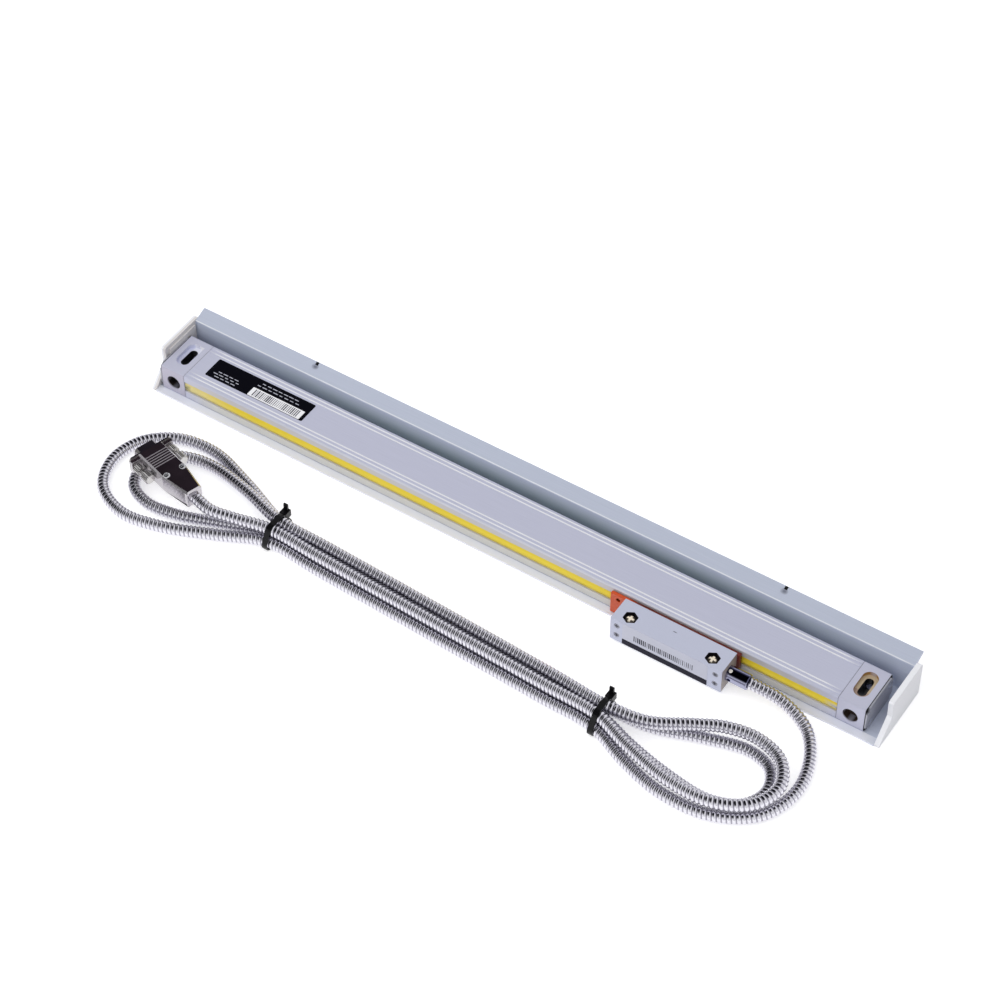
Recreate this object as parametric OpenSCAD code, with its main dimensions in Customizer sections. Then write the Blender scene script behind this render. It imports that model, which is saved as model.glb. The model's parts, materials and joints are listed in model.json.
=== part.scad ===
// Linear glass scale with its reading head, cover channel and armoured lead.
// Millimetres. X runs along the scale, -Y is the side of the reading head, +Z is up.
// The origin is on the resting plane, under the front face of the scale, at mid length.

/* [Scale body] */
// Length of the scale between its end faces
scale_l = 508; // [440:1:900]
// Width of the scale body, front to back
scale_w = 32.5; // [32.5:0.5:40]
// Height of the scale body
scale_h = 19.5; // [19.5:0.5:26]
// Wall of the body extrusion
wall = 2.2; // [1.8:0.1:2.4]
// Thickness of the front wall at the reading slot
rail_t = 3.4; // [3.2:0.1:4]
// Radius of the long outer edges
edge_r = 1.2; // [0.6:0.1:1.6]
// Height of the seam line of the seal lips above the body's underside
slit_up = 9.7; // [9.5:0.1:10]
// Reading slot above the seam line
slot_above = 4.5; // [4:0.1:4.8]
// Reading slot below the seam line
slot_below = 3.5; // [3:0.1:3.8]
// Height of the raised lines on the top face
ridge_h = 0.3; // [0.1:0.05:0.5]
// Width of the raised lines
ridge_w = 0.9; // [0.6:0.1:1.2]
// Inset of the outer raised line from the long edge
ridge_in = 2.7; // [2:0.1:3.2]
// Spacing of the two raised lines
ridge_gap = 2.8; // [2:0.1:3.5]

/* [End blocks] */
// Length of an end block with its joint gasket
block_l = 18; // [17:1:30]
// Distance of the mounting holes from the end face
hole_in = 9; // [8.5:0.5:10]
// Clearance diameter of the mounting holes
hole_d = 5.5; // [4.5:0.1:6]
// Diameter of the front counterbore
cbore_d = 10; // [8:0.5:10]
// Depth of the front counterbore
cbore_deep = 5; // [3:0.5:5]
// Height of the front hole above the underside
hole_up = 8.9; // [8.9:0.1:10]
// Overall length of the top mounting slot, front to back
slot_len = 14.5; // [8:0.5:15]
// Width of the step round the top slot
step_w = 10; // [8:0.5:11]
// Overall length of the step round the top slot
step_len = 20; // [16:0.5:20]
// Depth of the step round the top slot
step_deep = 2.8; // [1:0.1:3]
// Reach of the block's spigot into the body
spigot_l = 3; // [1:0.5:4]
// Thickness of the gasket between block and body
joint_t = 0.4; // [0.3:0.1:1]
// Thickness of the end gasket
gasket_t = 0.5; // [0.3:0.1:0.8]
// Thickness of the end plate
plate_t = 0.9; // [0.8:0.1:1]
// Corner notch of the end plate, measured front to back
notch_w = 3; // [1:0.1:3.4]
// Corner notch of the end plate, measured upwards
notch_h = 3.5; // [1:0.1:3.5]
// Core diameter of the end screws
end_screw_d = 2.3; // [2:0.1:2.3]
// Length of the end screws
end_screw_l = 27; // [22:1:36]

/* [Seal lips] */
// Thickness of the lip's key in its groove
lip_key = 0.9; // [0.7:0.05:1]
// Depth of the lip grooves
lip_groove = 1; // [0.8:0.1:1.2]
// Opening between the lip edges
lip_slit = 1.5; // [1.4:0.1:2]

/* [Glass] */
// Thickness of the glass
glass_t = 4; // [3:0.5:4]
// Height of the glass
glass_h = 9.5; // [9:0.1:9.8]
// Space between the glass and each end of the body
glass_end = 5; // [4:1:12]
// Thickness of the bonding strip over the glass
tape_t = 0.3; // [0.2:0.1:0.5]
// Space between the glass and the back wall
glass_back = 4.3; // [4.2:0.1:6]

/* [Carriage] */
// Length of the carriage
car_l = 56; // [54:1:80]
// Diameter of the rollers on the face of the glass
face_d = 6; // [5:0.1:6.2]
// Diameter of the rollers on the edge of the glass
edge_d = 4; // [3.6:0.1:4]
// Width of all rollers
roller_w = 2.5; // [2:0.1:2.6]
// Running clearance of the rollers
run_gap = 0.1; // [0.05:0.01:0.15]
// Diameter of the face roller pins
face_pin_d = 2; // [1.5:0.1:2.2]
// Diameter of the edge roller pins
edge_pin_d = 1.4; // [1.2:0.1:1.6]
// Distance of the outer face rollers from the middle of the carriage
face_x = 22; // [21.5:0.5:23]
// Distance of the edge rollers from the middle of the carriage
edge_x = 14; // [11:0.5:20]
// Thickness of the coupling spring
spring_t = 0.4; // [0.2:0.05:0.5]

/* [Reading head] */
// Length of the head
head_l = 76; // [75:1:90]
// Depth of the head, front to back
head_d = 17.3; // [16.5:0.1:20]
// Height of the head
head_h = 18.5; // [18:0.5:22]
// Gap between the head and the front face of the body
head_gap = 3; // [2.8:0.1:4]
// Thickness of the head's front cover
cover_plate_t = 1.3; // [1.2:0.1:2]
// Distance of the mounting screws from the ends of the head
screw_in = 10; // [9.8:0.1:10.4]
// Distance of the mounting screws from the front of the head
screw_back = 6.3; // [6.2:0.1:7]
// Width across flats of the screw pockets
hex_af = 8.3; // [7.5:0.1:8.4]
// Depth of the screw pockets
hex_deep = 5; // [3:0.1:5.2]
// Clearance diameter of the head's mounting holes
head_hole_d = 4.5; // [4.1:0.1:4.8]
// Thickness of the arm that reaches through the lips
arm_t = 1; // [0.8:0.1:1.1]
// Length of the arm's pointed part along the scale
arm_l = 36; // [28:1:36]
// Thickness of the transport bracket
bracket_t = 2.4; // [1.5:0.1:2.5]
// Diameter of the cable ferrule
gland_d = 10; // [9:0.5:12]
// Length of the cable ferrule
gland_l = 14; // [10:0.5:20]

/* [Cover channel] */
// Thickness of the channel's base
cover_t = 1.5; // [1.2:0.1:3]
// Thickness of the channel's back wall and flange
back_t = 1.7; // [1.2:0.1:2.5]
// Height of the channel's back wall
back_h = 26.8; // [24:0.2:34]
// Space between the scale body and the back wall
back_gap = 7.3; // [3:0.1:14]
// Reach of the base in front of the scale body
front_lip = 5; // [2:0.5:6]
// Width of the sloping flange
flange_w = 11; // [8:0.5:20]
// Slope of the flange
flange_tilt = 19; // [5:1:40]
// Channel beyond the left end face of the scale
over_left = 2.5; // [2.5:0.1:12]
// Channel beyond the right end face of the scale
over_right = 10; // [2.5:0.1:20]
// Thickness of the end caps outside the channel
cap_t = 3.2; // [2:0.1:5]
// Spacing of the two holes in the flange
flange_hole_gap = 340; // [200:5:400]

/* [Lead and plug] */
// Outer diameter of the armoured cable
cable_d = 8; // [7:0.5:8]
// Width of the plug's hood
hood_w = 17.6; // [17.2:0.1:17.8]
// Height of the plug's hood
hood_h = 13; // [12:0.5:14]
// Length of the plug's hood
hood_l = 46.4; // [46:0.1:50]
// Wall of the plug's hood
hood_wall = 1.2; // [1:0.1:1.4]
// Spacing of the jackscrews
jack_gap = 25; // [25:0.1:27]
// Diameter of the jackscrew knobs
jack_d = 7; // [5:0.1:7]
// Width of the cable ties
tie_w = 3.6; // [2.5:0.1:5]
// Thickness of the cable ties
tie_t = 0.9; // [0.6:0.1:0.9]

/* [Hidden] */
$fn = 48;
eps = 0.01;

// Fits
free_gap = 0.05;
side_gap = 0.1;

// Scale body, heights from the resting plane
body_z = cover_t;
body_top = body_z + scale_h;
floor_z = body_z + wall;
ceiling_z = body_top - wall;
slit_z = body_z + slit_up;
slot_top = slit_z + slot_above;
slot_bottom = slit_z - slot_below;
body_half = scale_l / 2 - block_l;
end_half = scale_l / 2;
inner_back = scale_w - wall;
groove_y = 1.2;

// Glass and the two ribs that hold it
glass_y = inner_back - glass_back - glass_t;
glass_top = ceiling_z - tape_t;
glass_z = glass_top - glass_h;
glass_half = body_half - glass_end;
rib_t = 1.5;
rib_h = 2;
rib_gap = 0.2;

// Screw channels of the body: [distance back from the front face, height]
channel_d = end_screw_d + 2 * free_gap;
channel_r = [2.2, 2];
channels = [[7.2, body_z + 3.9], [inner_back - 2.1, ceiling_z - 3.1]];
end_clear_d = 3.2;
end_head_d = 4.4;
end_head_l = 1.1;

// End blocks
slot_y = scale_w / 2 + 1.1;
hole_z = body_z + hole_up;
spigot_y = 10;
spigot_gap = 0.2;

// Carriage, worked out from the glass
car_wall_t = 4.6;
car_back = glass_y - 4.4;
car_front = car_back - car_wall_t;
car_z = floor_z + 0.4;
car_floor = 1.6;
car_top = ceiling_z - 1.3;
car_rear_y = glass_y + glass_t + 1.2;
car_rear_end = inner_back - 0.5;
face_r = face_d / 2;
face_y = glass_y - run_gap - face_r;
face_high = glass_z + 4.6;
face_low = glass_z + 2;
face_axles = [[-face_x, face_high], [0, face_low], [face_x, face_high]];
lug_w = 8;
lug_t = 1.1;
lug_y = face_y + 1.7;
edge_r2 = edge_d / 2;
edge_z = glass_z - run_gap - edge_r2;
edge_y = glass_y + glass_t / 2;
ear_t = 1.5;
ear_top = glass_z - 0.6;
sensor_x = 11;
sensor_w = 11.4;
sensor_z = glass_z + 0.3;
sensor_h = 6.2;
ledge_t = 1;
board_t = 0.8;
reticle_t = 1;
lamp_d = 3;
lamp_z = glass_z + 1.8;

// Coupling, in 24 steps from the front wall to the carriage
coupling_step = (car_front - rail_t) / 24;
block_y = rail_t + 3.5 * coupling_step;
arm_screw_y = rail_t + 7.25 * coupling_step;
arm_tip_y = rail_t + 11 * coupling_step;
block_end = rail_t + 16.5 * coupling_step;
spring_bite = block_end - arm_tip_y - 0.4;

// Reader: everything that slides along the scale
reader_x = 133;
block_half = 10;
block_h = 5;
spring_h = 5;
spring_end = 23;
spring_foot = 15;
spring_mid = 8.5;
spring_screw_x = 19;
spring_mid_x = 3.5;
arm_screw_x = 7;
arm_y = 1.4;
arm_half_t = 2.6;
arm_neck = 24;
head_z = cover_t + 0.4;
head_back = -head_gap;
head_front = head_back - head_d;
head_mid_z = head_z + head_h / 2;
head_half = head_l / 2;
head_wall = 3;
pocket_half = head_half - screw_in - hex_af / 2 - 1.85;
pocket_edge = 2.5;
screw_y = head_front + screw_back;
screw_x = head_half - screw_in;
pocket_floor = head_z + head_h - hex_deep;
plate_screw_x = head_half - 4.4;
plate_screw_z = 4;
foot_screw_x = arm_neck / 2 + 1.6;
foot_half = foot_screw_x + 2;
foot_h = 6;
foot_t = 1.5;
post_x = foot_half + 2.6;
post_r = 1.8;
post_l = 4.8;
head_board_t = 1.2;
board_half = pocket_half - 2;
head_screw_d = 7;
bracket_left = head_half + 10.5;
bracket_right = head_half + 2;
bracket_top = cover_t + 17.5;
bracket_hole_x = head_half + 5.2;
gland_y = head_back - 8.5;
gland_z = head_z + 9.3;
stub_d = 6;
stub_l = 4.8;
wire_y = head_back - 6.9;
wire_d = 2.5;

// Cover channel
base_end = scale_w + back_gap + back_t;
base_left = -end_half - over_left;
base_right = end_half + over_right;
cap_plug = 1;
cap_rise = 0.9;

// Plug: its own frame has X from the mating face to the cable
plug_at = [-222, -59, 14.8];
plug_turn = -16.8;
shell_l = 6;
shell_w = 16.6;
shell_h = 8.3;
shell_t = 0.4;
flange_l = 1;
plate_w = jack_gap + 5.8;
plate_h = 12.5;
hood_x = shell_l + flange_l;
taper_x = 32;
hood_end_w = 10.6;
bevel = 1;
hood_screw_x = 33;
hood_screw_y = 5.9;
ear_l = 2;
ear_h = 9;
jack_from = 2.5;
jack_hole_d = 3.2;
jack_shank_d = 2.9;
jack_knob = 10;
jack_end = 24.5;
tie_at = [-117, 124];
tie_step = 8.3;
tie_mid_y = [-64.2, -76.2];
tie_low = tie_t + side_gap + cable_d / 2;
tie_rise = 7.2;

// Route of the cable from the ferrule to the plug, in order
cable_route = [
    [185, -11.5, 11.2], [208, -12, 9.6], [228, -20, 6], [240, -38, 4.2], [244, -62, 4.2],
    [235, -86, 4.2], [211, -101, 4.2], [180, -103, 4.2], [150, -95, 4.2],
    [124, -84.5, 5], [85, -82, 4.2], [-80, -74, 4.2], [-117, -72.5, 5],
    [-148, -85, 4.2], [-180, -98, 4.2], [-208, -102, 4.2], [-231, -91, 4.2], [-240, -69, 4.2],
    [-234, -47, 4.2], [-216, -33, 4.2], [-190, -30, 4.2], [-158, -40, 4.2],
    [-117, -56, 5], [-80, -57, 4.2], [85, -65, 4.2], [124, -68, 5],
    [150, -66, 4.2], [180, -56, 4.2], [208, -49.5, 4.2], [224, -55, 4.2], [230, -70, 4.2],
    [223, -85, 4.2], [204, -92.5, 4.2], [176, -90, 4.2], [148, -83.5, 4.2],
    [124, -76.2, 5], [85, -73.5, 4.2], [-80, -65.5, 4.2], [-117, -64.2, 5],
    [-150, -75, 4.2], [-178, -85, 4.2], [-200, -87, 4.2], [-215, -80, 4.2], [-220, -66, 4.2],
    [-215, -51, 4.2], [-200, -42.5, 4.2], [-182, -41.5, 5.5], [-150, -50, 10.4],
    [-117, -60, 12.2], [-80, -61, 11.4], [85, -69, 11.4], [124, -72, 12.2],
    [150, -69, 12], [174, -56, 12.2], [190, -48, 12.4], [210, -45, 12.4], [228, -51.5, 12.4],
    [237, -68, 12.4], [231, -86, 12.4], [210, -98, 12.4], [182, -98.5, 12.4], [150, -90, 12],
    [124, -80.5, 12.2], [85, -78, 11.4], [-80, -70, 11.4], [-117, -68.5, 12.2],
    [-141, -74, 13.2], [-157, -77.6, 14.6], [-170.9, -74.4, 14.8]
];
ring_gap = 34;
straight_gap = 90;
cable_sides = 8;

function unit(v) = v / norm(v);
function knot(a, b) = sqrt(norm(b - a));
function blend(p, q, a, b, t) = (p * (b - t) + q * (t - a)) / (b - a);

// Point at share s of the way from b to c on a centripetal spline through a, b, c and d
function spline(a, b, c, d, s) =
    let (
        k1 = knot(a, b),
        k2 = k1 + knot(b, c),
        k3 = k2 + knot(c, d),
        t = k1 + (k2 - k1) * s,
        ab = blend(a, b, 0, k1, t),
        bc = blend(b, c, k1, k2, t),
        cd = blend(c, d, k2, k3, t)
    )
    blend(blend(ab, bc, 0, k2, t), blend(bc, cd, k1, k3, t), k1, k2, t);

function rings_in(gap) = gap > straight_gap ? 1 : ceil(gap / ring_gap);

function cable_line(route) =
    let (
        last = len(route) - 1,
        p = concat([2 * route[0] - route[1]], route, [2 * route[last] - route[last - 1]])
    )
    [
        for (i = [1 : last])
            let (n = rings_in(norm(p[i + 1] - p[i])))
            for (j = [0 : n - 1])
                spline(p[i - 1], p[i], p[i + 1], p[i + 2], j / n),
        route[last]
    ];

// Swept tube with its first and last ring square to the given directions
module tube(line, d, sides, first_dir, last_dir) {
    last = len(line) - 1;
    points = [
        for (i = [0 : last])
            let (
                ahead = i == 0 ? first_dir : i == last ? last_dir : unit(line[i + 1] - line[i - 1]),
                side = unit(cross(ahead, [0, 0, 1])),
                up = cross(side, ahead)
            )
            for (j = [0 : sides - 1])
                let (a = 360 * (j + 0.5) / sides)
                line[i] + d / 2 * (cos(a) * side + sin(a) * up)
    ];
    walls = [
        for (i = [0 : last - 1])
            for (j = [0 : sides - 1])
                let (k = (j + 1) % sides)
                [i * sides + j, (i + 1) * sides + j, (i + 1) * sides + k, i * sides + k]
    ];
    start = [for (j = [0 : sides - 1]) j];
    end = [for (j = [sides - 1 : -1 : 0]) last * sides + j];
    polyhedron(points, concat([start], walls, [end]));
}

// Extrude a profile drawn in (Y, Z) from x0 to x1
module along_x(x0, x1) {
    translate([x0, 0, 0]) rotate([90, 0, 90]) linear_extrude(x1 - x0) children();
}

// Cylinders between two places on one axis
module rod_x(x0, x1, d) { translate([x0, 0, 0]) rotate([0, 90, 0]) cylinder(h = x1 - x0, d = d); }
module rod_y(y0, y1, d) { translate([0, y0, 0]) rotate([-90, 0, 0]) cylinder(h = y1 - y0, d = d); }
module rod_z(z0, z1, d) { translate([0, 0, z0]) cylinder(h = z1 - z0, d = d); }

// Box from one corner to the other
module block(low, high) { translate(low) cube(high - low); }

// Rectangle with round corners
module round_rect(x0, y0, x1, y1, r) {
    translate([x0 + r, y0]) square([x1 - x0 - 2 * r, y1 - y0]);
    translate([x0, y0 + r]) square([x1 - x0, y1 - y0 - 2 * r]);
    for (x = [x0 + r, x1 - r], y = [y0 + r, y1 - r]) translate([x, y]) circle(r);
}

// Slot with round ends along Y
module slot_2d(w, l) {
    square([w, l - w], center = true);
    for (s = [-1, 1]) translate([0, s * (l - w) / 2]) circle(d = w);
}

// Right-hand piece as it is, or its mirror image on the left
module at_side(side) { if (side < 0) mirror([1, 0, 0]) children(); else children(); }

// ---- cover channel -------------------------------------------------------------------------

module cover_profile() {
    translate([-front_lip, 0]) square([base_end + front_lip, cover_t]);
    translate([base_end - back_t, 0]) square([back_t, back_h - back_t / 2]);
    translate([base_end - back_t, back_h]) rotate(flange_tilt) {
        translate([0, -back_t]) square([flange_w - back_t / 2, back_t]);
        translate([flange_w - back_t / 2, -back_t / 2]) circle(d = back_t);
    }
    translate([base_end - back_t, cover_t]) difference() {
        translate([-1, 0]) square([1 + eps, 1]);
        translate([-1, 1]) circle(r = 1);
    }
}

module cover_channel() {
    middle = (base_left + base_right) / 2;
    color("lightsteelblue") difference() {
        along_x(base_left, base_right) cover_profile();
        for (s = [-1, 1]) {
            translate([s * (end_half - hole_in), slot_y, -1]) linear_extrude(cover_t + 2)
                slot_2d(hole_d, slot_len);
            translate([middle + s * flange_hole_gap / 2, base_end - back_t, back_h])
                rotate([flange_tilt, 0, 0]) {
                    translate([0, flange_w * 0.64, -0.3]) cylinder(h = 1, d = 4.4);
                    translate([0, flange_w - 1.4, -back_t - 1]) cylinder(h = back_t + 2, d = 1.8);
                }
        }
    }
}

module cap_profile() {
    top = back_h + cap_rise;
    polygon([
        [0.5 - front_lip, 0], [base_end + 2.2, 0], [base_end + 2.8, 0.8], [base_end + 2.8, top - 2],
        [base_end + 0.8, top], [9, top], [8, top - 1], [8.6, body_z + scale_h * 0.7],
        [0.5 - front_lip, cover_t]
    ]);
}

module cap(end_x, side) {
    at_side(side) {
        along_x(end_x, end_x + cap_t) cap_profile();
        along_x(end_x - cap_plug, end_x + eps)
            translate([12, cover_t + side_gap])
                square([base_end - back_t - 1.2 - 12, back_h - 2.4 - cover_t]);
    }
}

module cap_left() { color("ghostwhite") cap(-base_left, -1); }
module cap_right() { color("ghostwhite") cap(base_right, 1); }

// ---- scale body ----------------------------------------------------------------------------

module housing_profile() {
    difference() {
        union() {
            difference() {
                union() {
                    round_rect(0, body_z, scale_w, body_top, edge_r);
                    for (y = [ridge_in, ridge_in + ridge_gap])
                        for (m = [y, scale_w - y])
                            translate([m - ridge_w / 2, body_top - eps]) square([ridge_w, ridge_h + eps]);
                }
                translate([wall, floor_z]) square([scale_w - 2 * wall, scale_h - 2 * wall]);
            }
            translate([eps, slot_top]) square([rail_t - eps, ceiling_z - slot_top + eps]);
            translate([eps, slot_bottom - 2]) square([rail_t - eps, 2]);
            translate([glass_y - rib_gap - rib_t, ceiling_z - rib_h]) square([rib_t, rib_h + eps]);
            translate([glass_y + glass_t + rib_gap, ceiling_z - rib_h]) square([rib_t, rib_h + eps]);
            for (i = [0, 1]) translate(channels[i]) circle(channel_r[i]);
            translate([channels[0][0] - channel_r[0], floor_z - eps])
                square([2 * channel_r[0], channels[0][1] - floor_z]);
            translate(channels[1] - [channel_r[1], 0])
                square([channel_r[1], 0] + [inner_back, ceiling_z] - channels[1] + [eps, eps]);
            translate(channels[1] - [0, channel_r[1]])
                square([inner_back - channels[1][0] + eps, channel_r[1]]);
        }
        translate([-1, slot_bottom]) square([rail_t + 2, slot_top - slot_bottom]);
        for (z = [slot_top - eps, slot_bottom - lip_groove])
            translate([groove_y, z]) square([lip_key + 2 * free_gap, lip_groove + eps]);
        for (c = channels) translate(c) circle(d = channel_d);
    }
}

module housing() { color("silver") along_x(-body_half, body_half) housing_profile(); }

// One lip drawn in (Y, Z), up or down from the seam line
module lip_profile(up) {
    root = up > 0 ? slot_top : slot_bottom;
    edge = slit_z + up * lip_slit / 2;
    key = root + up * (lip_groove - free_gap);
    y0 = groove_y + free_gap;
    polygon([
        [y0, key], [y0 + lip_key, key], [y0 + lip_key, root], [0.75, edge], [0.1, edge], [y0, root]
    ]);
}

module lip_upper() { color("gold") along_x(-body_half, body_half) lip_profile(1); }
module lip_lower() { color("gold") along_x(-body_half, body_half) lip_profile(-1); }

module glass_scale() {
    color("lightcyan", 0.6)
        block([-glass_half, glass_y, glass_z], [glass_half, glass_y + glass_t, glass_top]);
}

module glass_strip() {
    color("dimgray") block([-glass_half, glass_y, glass_top], [glass_half, glass_y + glass_t, ceiling_z]);
}

// ---- end blocks ----------------------------------------------------------------------------

module end_block(side) {
    hole_x = end_half - hole_in;
    at_side(side) difference() {
        union() {
            along_x(body_half + joint_t, end_half) round_rect(0, body_z, scale_w, body_top, edge_r);
            block([body_half - spigot_l, spigot_y, floor_z + spigot_gap],
                [body_half + joint_t + eps, glass_y - rib_gap - rib_t - spigot_gap, ceiling_z - spigot_gap]);
        }
        translate([hole_x, slot_y, body_z - 1]) linear_extrude(scale_h + 2) slot_2d(hole_d, slot_len);
        translate([hole_x, slot_y, body_top - step_deep]) linear_extrude(step_deep + 1)
            slot_2d(step_w, step_len);
        translate([hole_x, 0, hole_z]) {
            rod_y(-1, cbore_deep, cbore_d);
            rod_y(0, scale_w + 1, hole_d);
        }
        for (c = channels) translate([0, c[0], c[1]]) rod_x(body_half, end_half + 1, end_clear_d);
    }
}

module end_block_left() { color("gainsboro") end_block(-1); }
module end_block_right() { color("gainsboro") end_block(1); }

module joint_gasket(side) {
    at_side(side) along_x(body_half, body_half + joint_t) difference() {
        round_rect(0.2, body_z, scale_w - 0.2, body_top - 0.1, edge_r);
        translate([spigot_y - spigot_gap, floor_z])
            square([glass_y - rib_t - spigot_y, ceiling_z - floor_z]);
        for (c = channels) translate(c) circle(d = end_clear_d);
    }
}

module joint_gasket_left() { color("dimgray") joint_gasket(-1); }
module joint_gasket_right() { color("dimgray") joint_gasket(1); }

module end_gasket(side) {
    at_side(side) along_x(end_half, end_half + gasket_t) difference() {
        round_rect(0.3, body_z + 0.1, scale_w - 0.3, body_top - 0.2, edge_r);
        for (c = channels) translate(c) circle(d = end_clear_d);
    }
}

module end_gasket_left() { color("black") end_gasket(-1); }
module end_gasket_right() { color("black") end_gasket(1); }

module end_plate(side) {
    x0 = end_half + gasket_t;
    at_side(side) difference() {
        along_x(x0, x0 + plate_t) union() {
            translate([notch_w, body_z + 0.1]) square([scale_w - 2 * notch_w, scale_h - 0.2]);
            translate([0.2, body_z + notch_h]) square([scale_w - 0.4, scale_h - 2 * notch_h]);
        }
        for (c = channels)
            translate([0, c[0], c[1]]) {
                rod_x(x0 - 1, x0 + plate_t + 1, end_screw_d + 0.2);
                end_head(x0 + plate_t, 2 * free_gap);
            }
    }
}

module end_plate_left() { color("silver") end_plate(-1); }
module end_plate_right() { color("silver") end_plate(1); }

// Countersunk head, its flat face at x, larger by grow
module end_head(x, grow) {
    d = end_head_d + grow;
    slope = end_head_d - end_screw_d;
    rotate([0, 90, 0]) translate([0, 0, x - end_head_l])
        cylinder(h = end_head_l + eps, d1 = d - slope, d2 = d);
}

module end_screws() {
    x1 = end_half + gasket_t + plate_t;
    color("gray") for (side = [-1, 1]) at_side(side) for (c = channels)
        translate([0, c[0], c[1]]) {
            rod_x(x1 - end_screw_l, x1 - end_head_l, end_screw_d);
            end_head(x1 - eps, 0);
        }
}

// ---- carriage ------------------------------------------------------------------------------

module at_reader() { translate([reader_x, 0, 0]) children(); }

// Coupling spring screws: clear holes of the given diameter in the carriage
module spring_holes(d) {
    for (s = [-1, 1]) translate([s * spring_screw_x, 0, slit_z]) rod_y(car_front - 1, car_front + 3, d);
}

module carriage() {
    lug_h = roller_w + 2 * (side_gap + lug_t);
    ear_gap = roller_w / 2 + side_gap;
    seat_x = sensor_x - sensor_w / 2;
    color("darkslategray") at_reader() difference() {
        union() {
            block([-car_l / 2, car_front, car_z], [car_l / 2, car_back, car_top]);
            block([-car_l / 2, car_front, car_z], [car_l / 2, car_rear_end, car_z + car_floor]);
            block([-car_l / 2, car_rear_y, car_z], [car_l / 2, car_rear_end, lamp_z + 2.6]);
            for (a = face_axles)
                block([a[0] - lug_w / 2, car_back - eps, a[1] - lug_h / 2],
                    [a[0] + lug_w / 2, lug_y, a[1] + lug_h / 2]);
            for (x = [-edge_x, edge_x])
                block([x - 2.2, edge_y - ear_gap - ear_t, car_z + car_floor - eps],
                    [x + 2.2, edge_y + ear_gap + ear_t, ear_top]);
            for (z = [sensor_z - ledge_t, sensor_z + sensor_h])
                block([seat_x, car_back - eps, z], [seat_x + sensor_w, glass_y - 0.5, z + ledge_t]);
        }
        for (a = face_axles) translate([a[0], face_y, 0]) {
            rod_z(a[1] - roller_w / 2 - side_gap, a[1] + roller_w / 2 + side_gap, face_d + 0.6);
            rod_z(a[1] - lug_h / 2 - 1, a[1] + lug_h / 2 + 1, face_pin_d);
        }
        for (x = [-edge_x, edge_x]) translate([x, 0, edge_z]) {
            rod_y(edge_y - ear_gap, edge_y + ear_gap, edge_d + 0.6);
            block([-2.3, edge_y - ear_gap, 0], [2.3, edge_y + ear_gap, 4]);
            rod_y(edge_y - ear_gap - ear_t - 1, edge_y + ear_gap + ear_t, edge_pin_d);
        }
        translate([sensor_x, 0, lamp_z]) {
            rod_y(car_rear_y - 1, car_rear_end + 1, lamp_d + 0.2);
            block([-7, car_rear_y + 1, -2.8], [7, car_rear_end + 1, 2.2]);
        }
        spring_holes(1.7);
    }
}

module face_roller(i) {
    a = face_axles[i];
    color("lightgray") at_reader() translate([a[0], face_y, 0]) difference() {
        rod_z(a[1] - roller_w / 2, a[1] + roller_w / 2, face_d);
        rod_z(a[1] - roller_w, a[1] + roller_w, face_pin_d + 2 * free_gap);
    }
}

module face_roller_left() { face_roller(0); }
module face_roller_middle() { face_roller(1); }
module face_roller_right() { face_roller(2); }

module edge_roller(x) {
    color("lightgray") at_reader() translate([x, edge_y, edge_z]) difference() {
        rod_y(-roller_w / 2, roller_w / 2, edge_d);
        rod_y(-roller_w, roller_w, edge_pin_d + 2 * free_gap);
    }
}

module edge_roller_left() { edge_roller(-edge_x); }
module edge_roller_right() { edge_roller(edge_x); }

module roller_pins() {
    face_l = roller_w + 2 * (side_gap + lug_t);
    edge_l = roller_w / 2 + side_gap + ear_t;
    color("slategray") at_reader() {
        for (a = face_axles) translate([a[0], face_y, 0])
            rod_z(a[1] - face_l / 2, a[1] + face_l / 2, face_pin_d);
        for (x = [-edge_x, edge_x]) translate([x, edge_y, edge_z]) rod_y(-edge_l, edge_l, edge_pin_d);
    }
}

module reticle() {
    y1 = glass_y - 0.5;
    color("lightcyan", 0.7) at_reader()
        block([sensor_x - 5, y1 - reticle_t, sensor_z], [sensor_x + 5, y1, sensor_z + sensor_h]);
}

module detector_board() {
    color("darkgreen") at_reader() {
        block([sensor_x - 5.3, car_back, sensor_z], [sensor_x + 5.3, car_back + board_t, sensor_z + sensor_h]);
        block([sensor_x - 3.5, car_back + board_t - eps, sensor_z + 1],
            [sensor_x + 3.5, car_back + board_t + 1.2, sensor_z + 5]);
    }
}

module lamp_board() {
    y0 = car_rear_y + 1;
    color("darkgreen") at_reader() translate([sensor_x, 0, lamp_z]) {
        block([-6.5, y0, -2.6], [6.5, y0 + board_t, 2]);
        rod_y(y0 - 1.6, y0 + eps, lamp_d);
    }
}

// ---- coupling between the carriage and the head --------------------------------------------

module coupling_spring() {
    out = car_front;
    near = out - spring_t;
    back = block_end;
    right = [
        [spring_mid, back], [spring_foot, near], [spring_end, near], [spring_end, out],
        [spring_foot - 0.4, out], [spring_mid - 0.2, back + spring_t]
    ];
    left = [for (i = [5 : -1 : 0]) [-right[i][0], right[i][1]]];
    color("lightslategray") at_reader() difference() {
        translate([0, 0, slit_z - spring_h / 2]) linear_extrude(spring_h) polygon(concat(right, left));
        for (x = [-spring_screw_x, -spring_mid_x, spring_mid_x, spring_screw_x])
            translate([x, 0, slit_z]) rod_y(back - 1, out + 1, 1.7);
    }
}

// Small pan-head screw along +Y with its seat at y
module small_screw(y, l) {
    rod_y(y - 0.9, y, 3);
    rod_y(y - eps, y + l, 1.6);
}

module spring_screws() {
    color("gray") at_reader() for (s = [-1, 1]) {
        translate([s * spring_screw_x, 0, slit_z]) small_screw(car_front - spring_t, spring_t + 2.5);
        translate([s * spring_mid_x, 0, slit_z]) mirror([0, 1, 0])
            small_screw(-block_end - spring_t, spring_t + spring_bite);
    }
}

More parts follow.
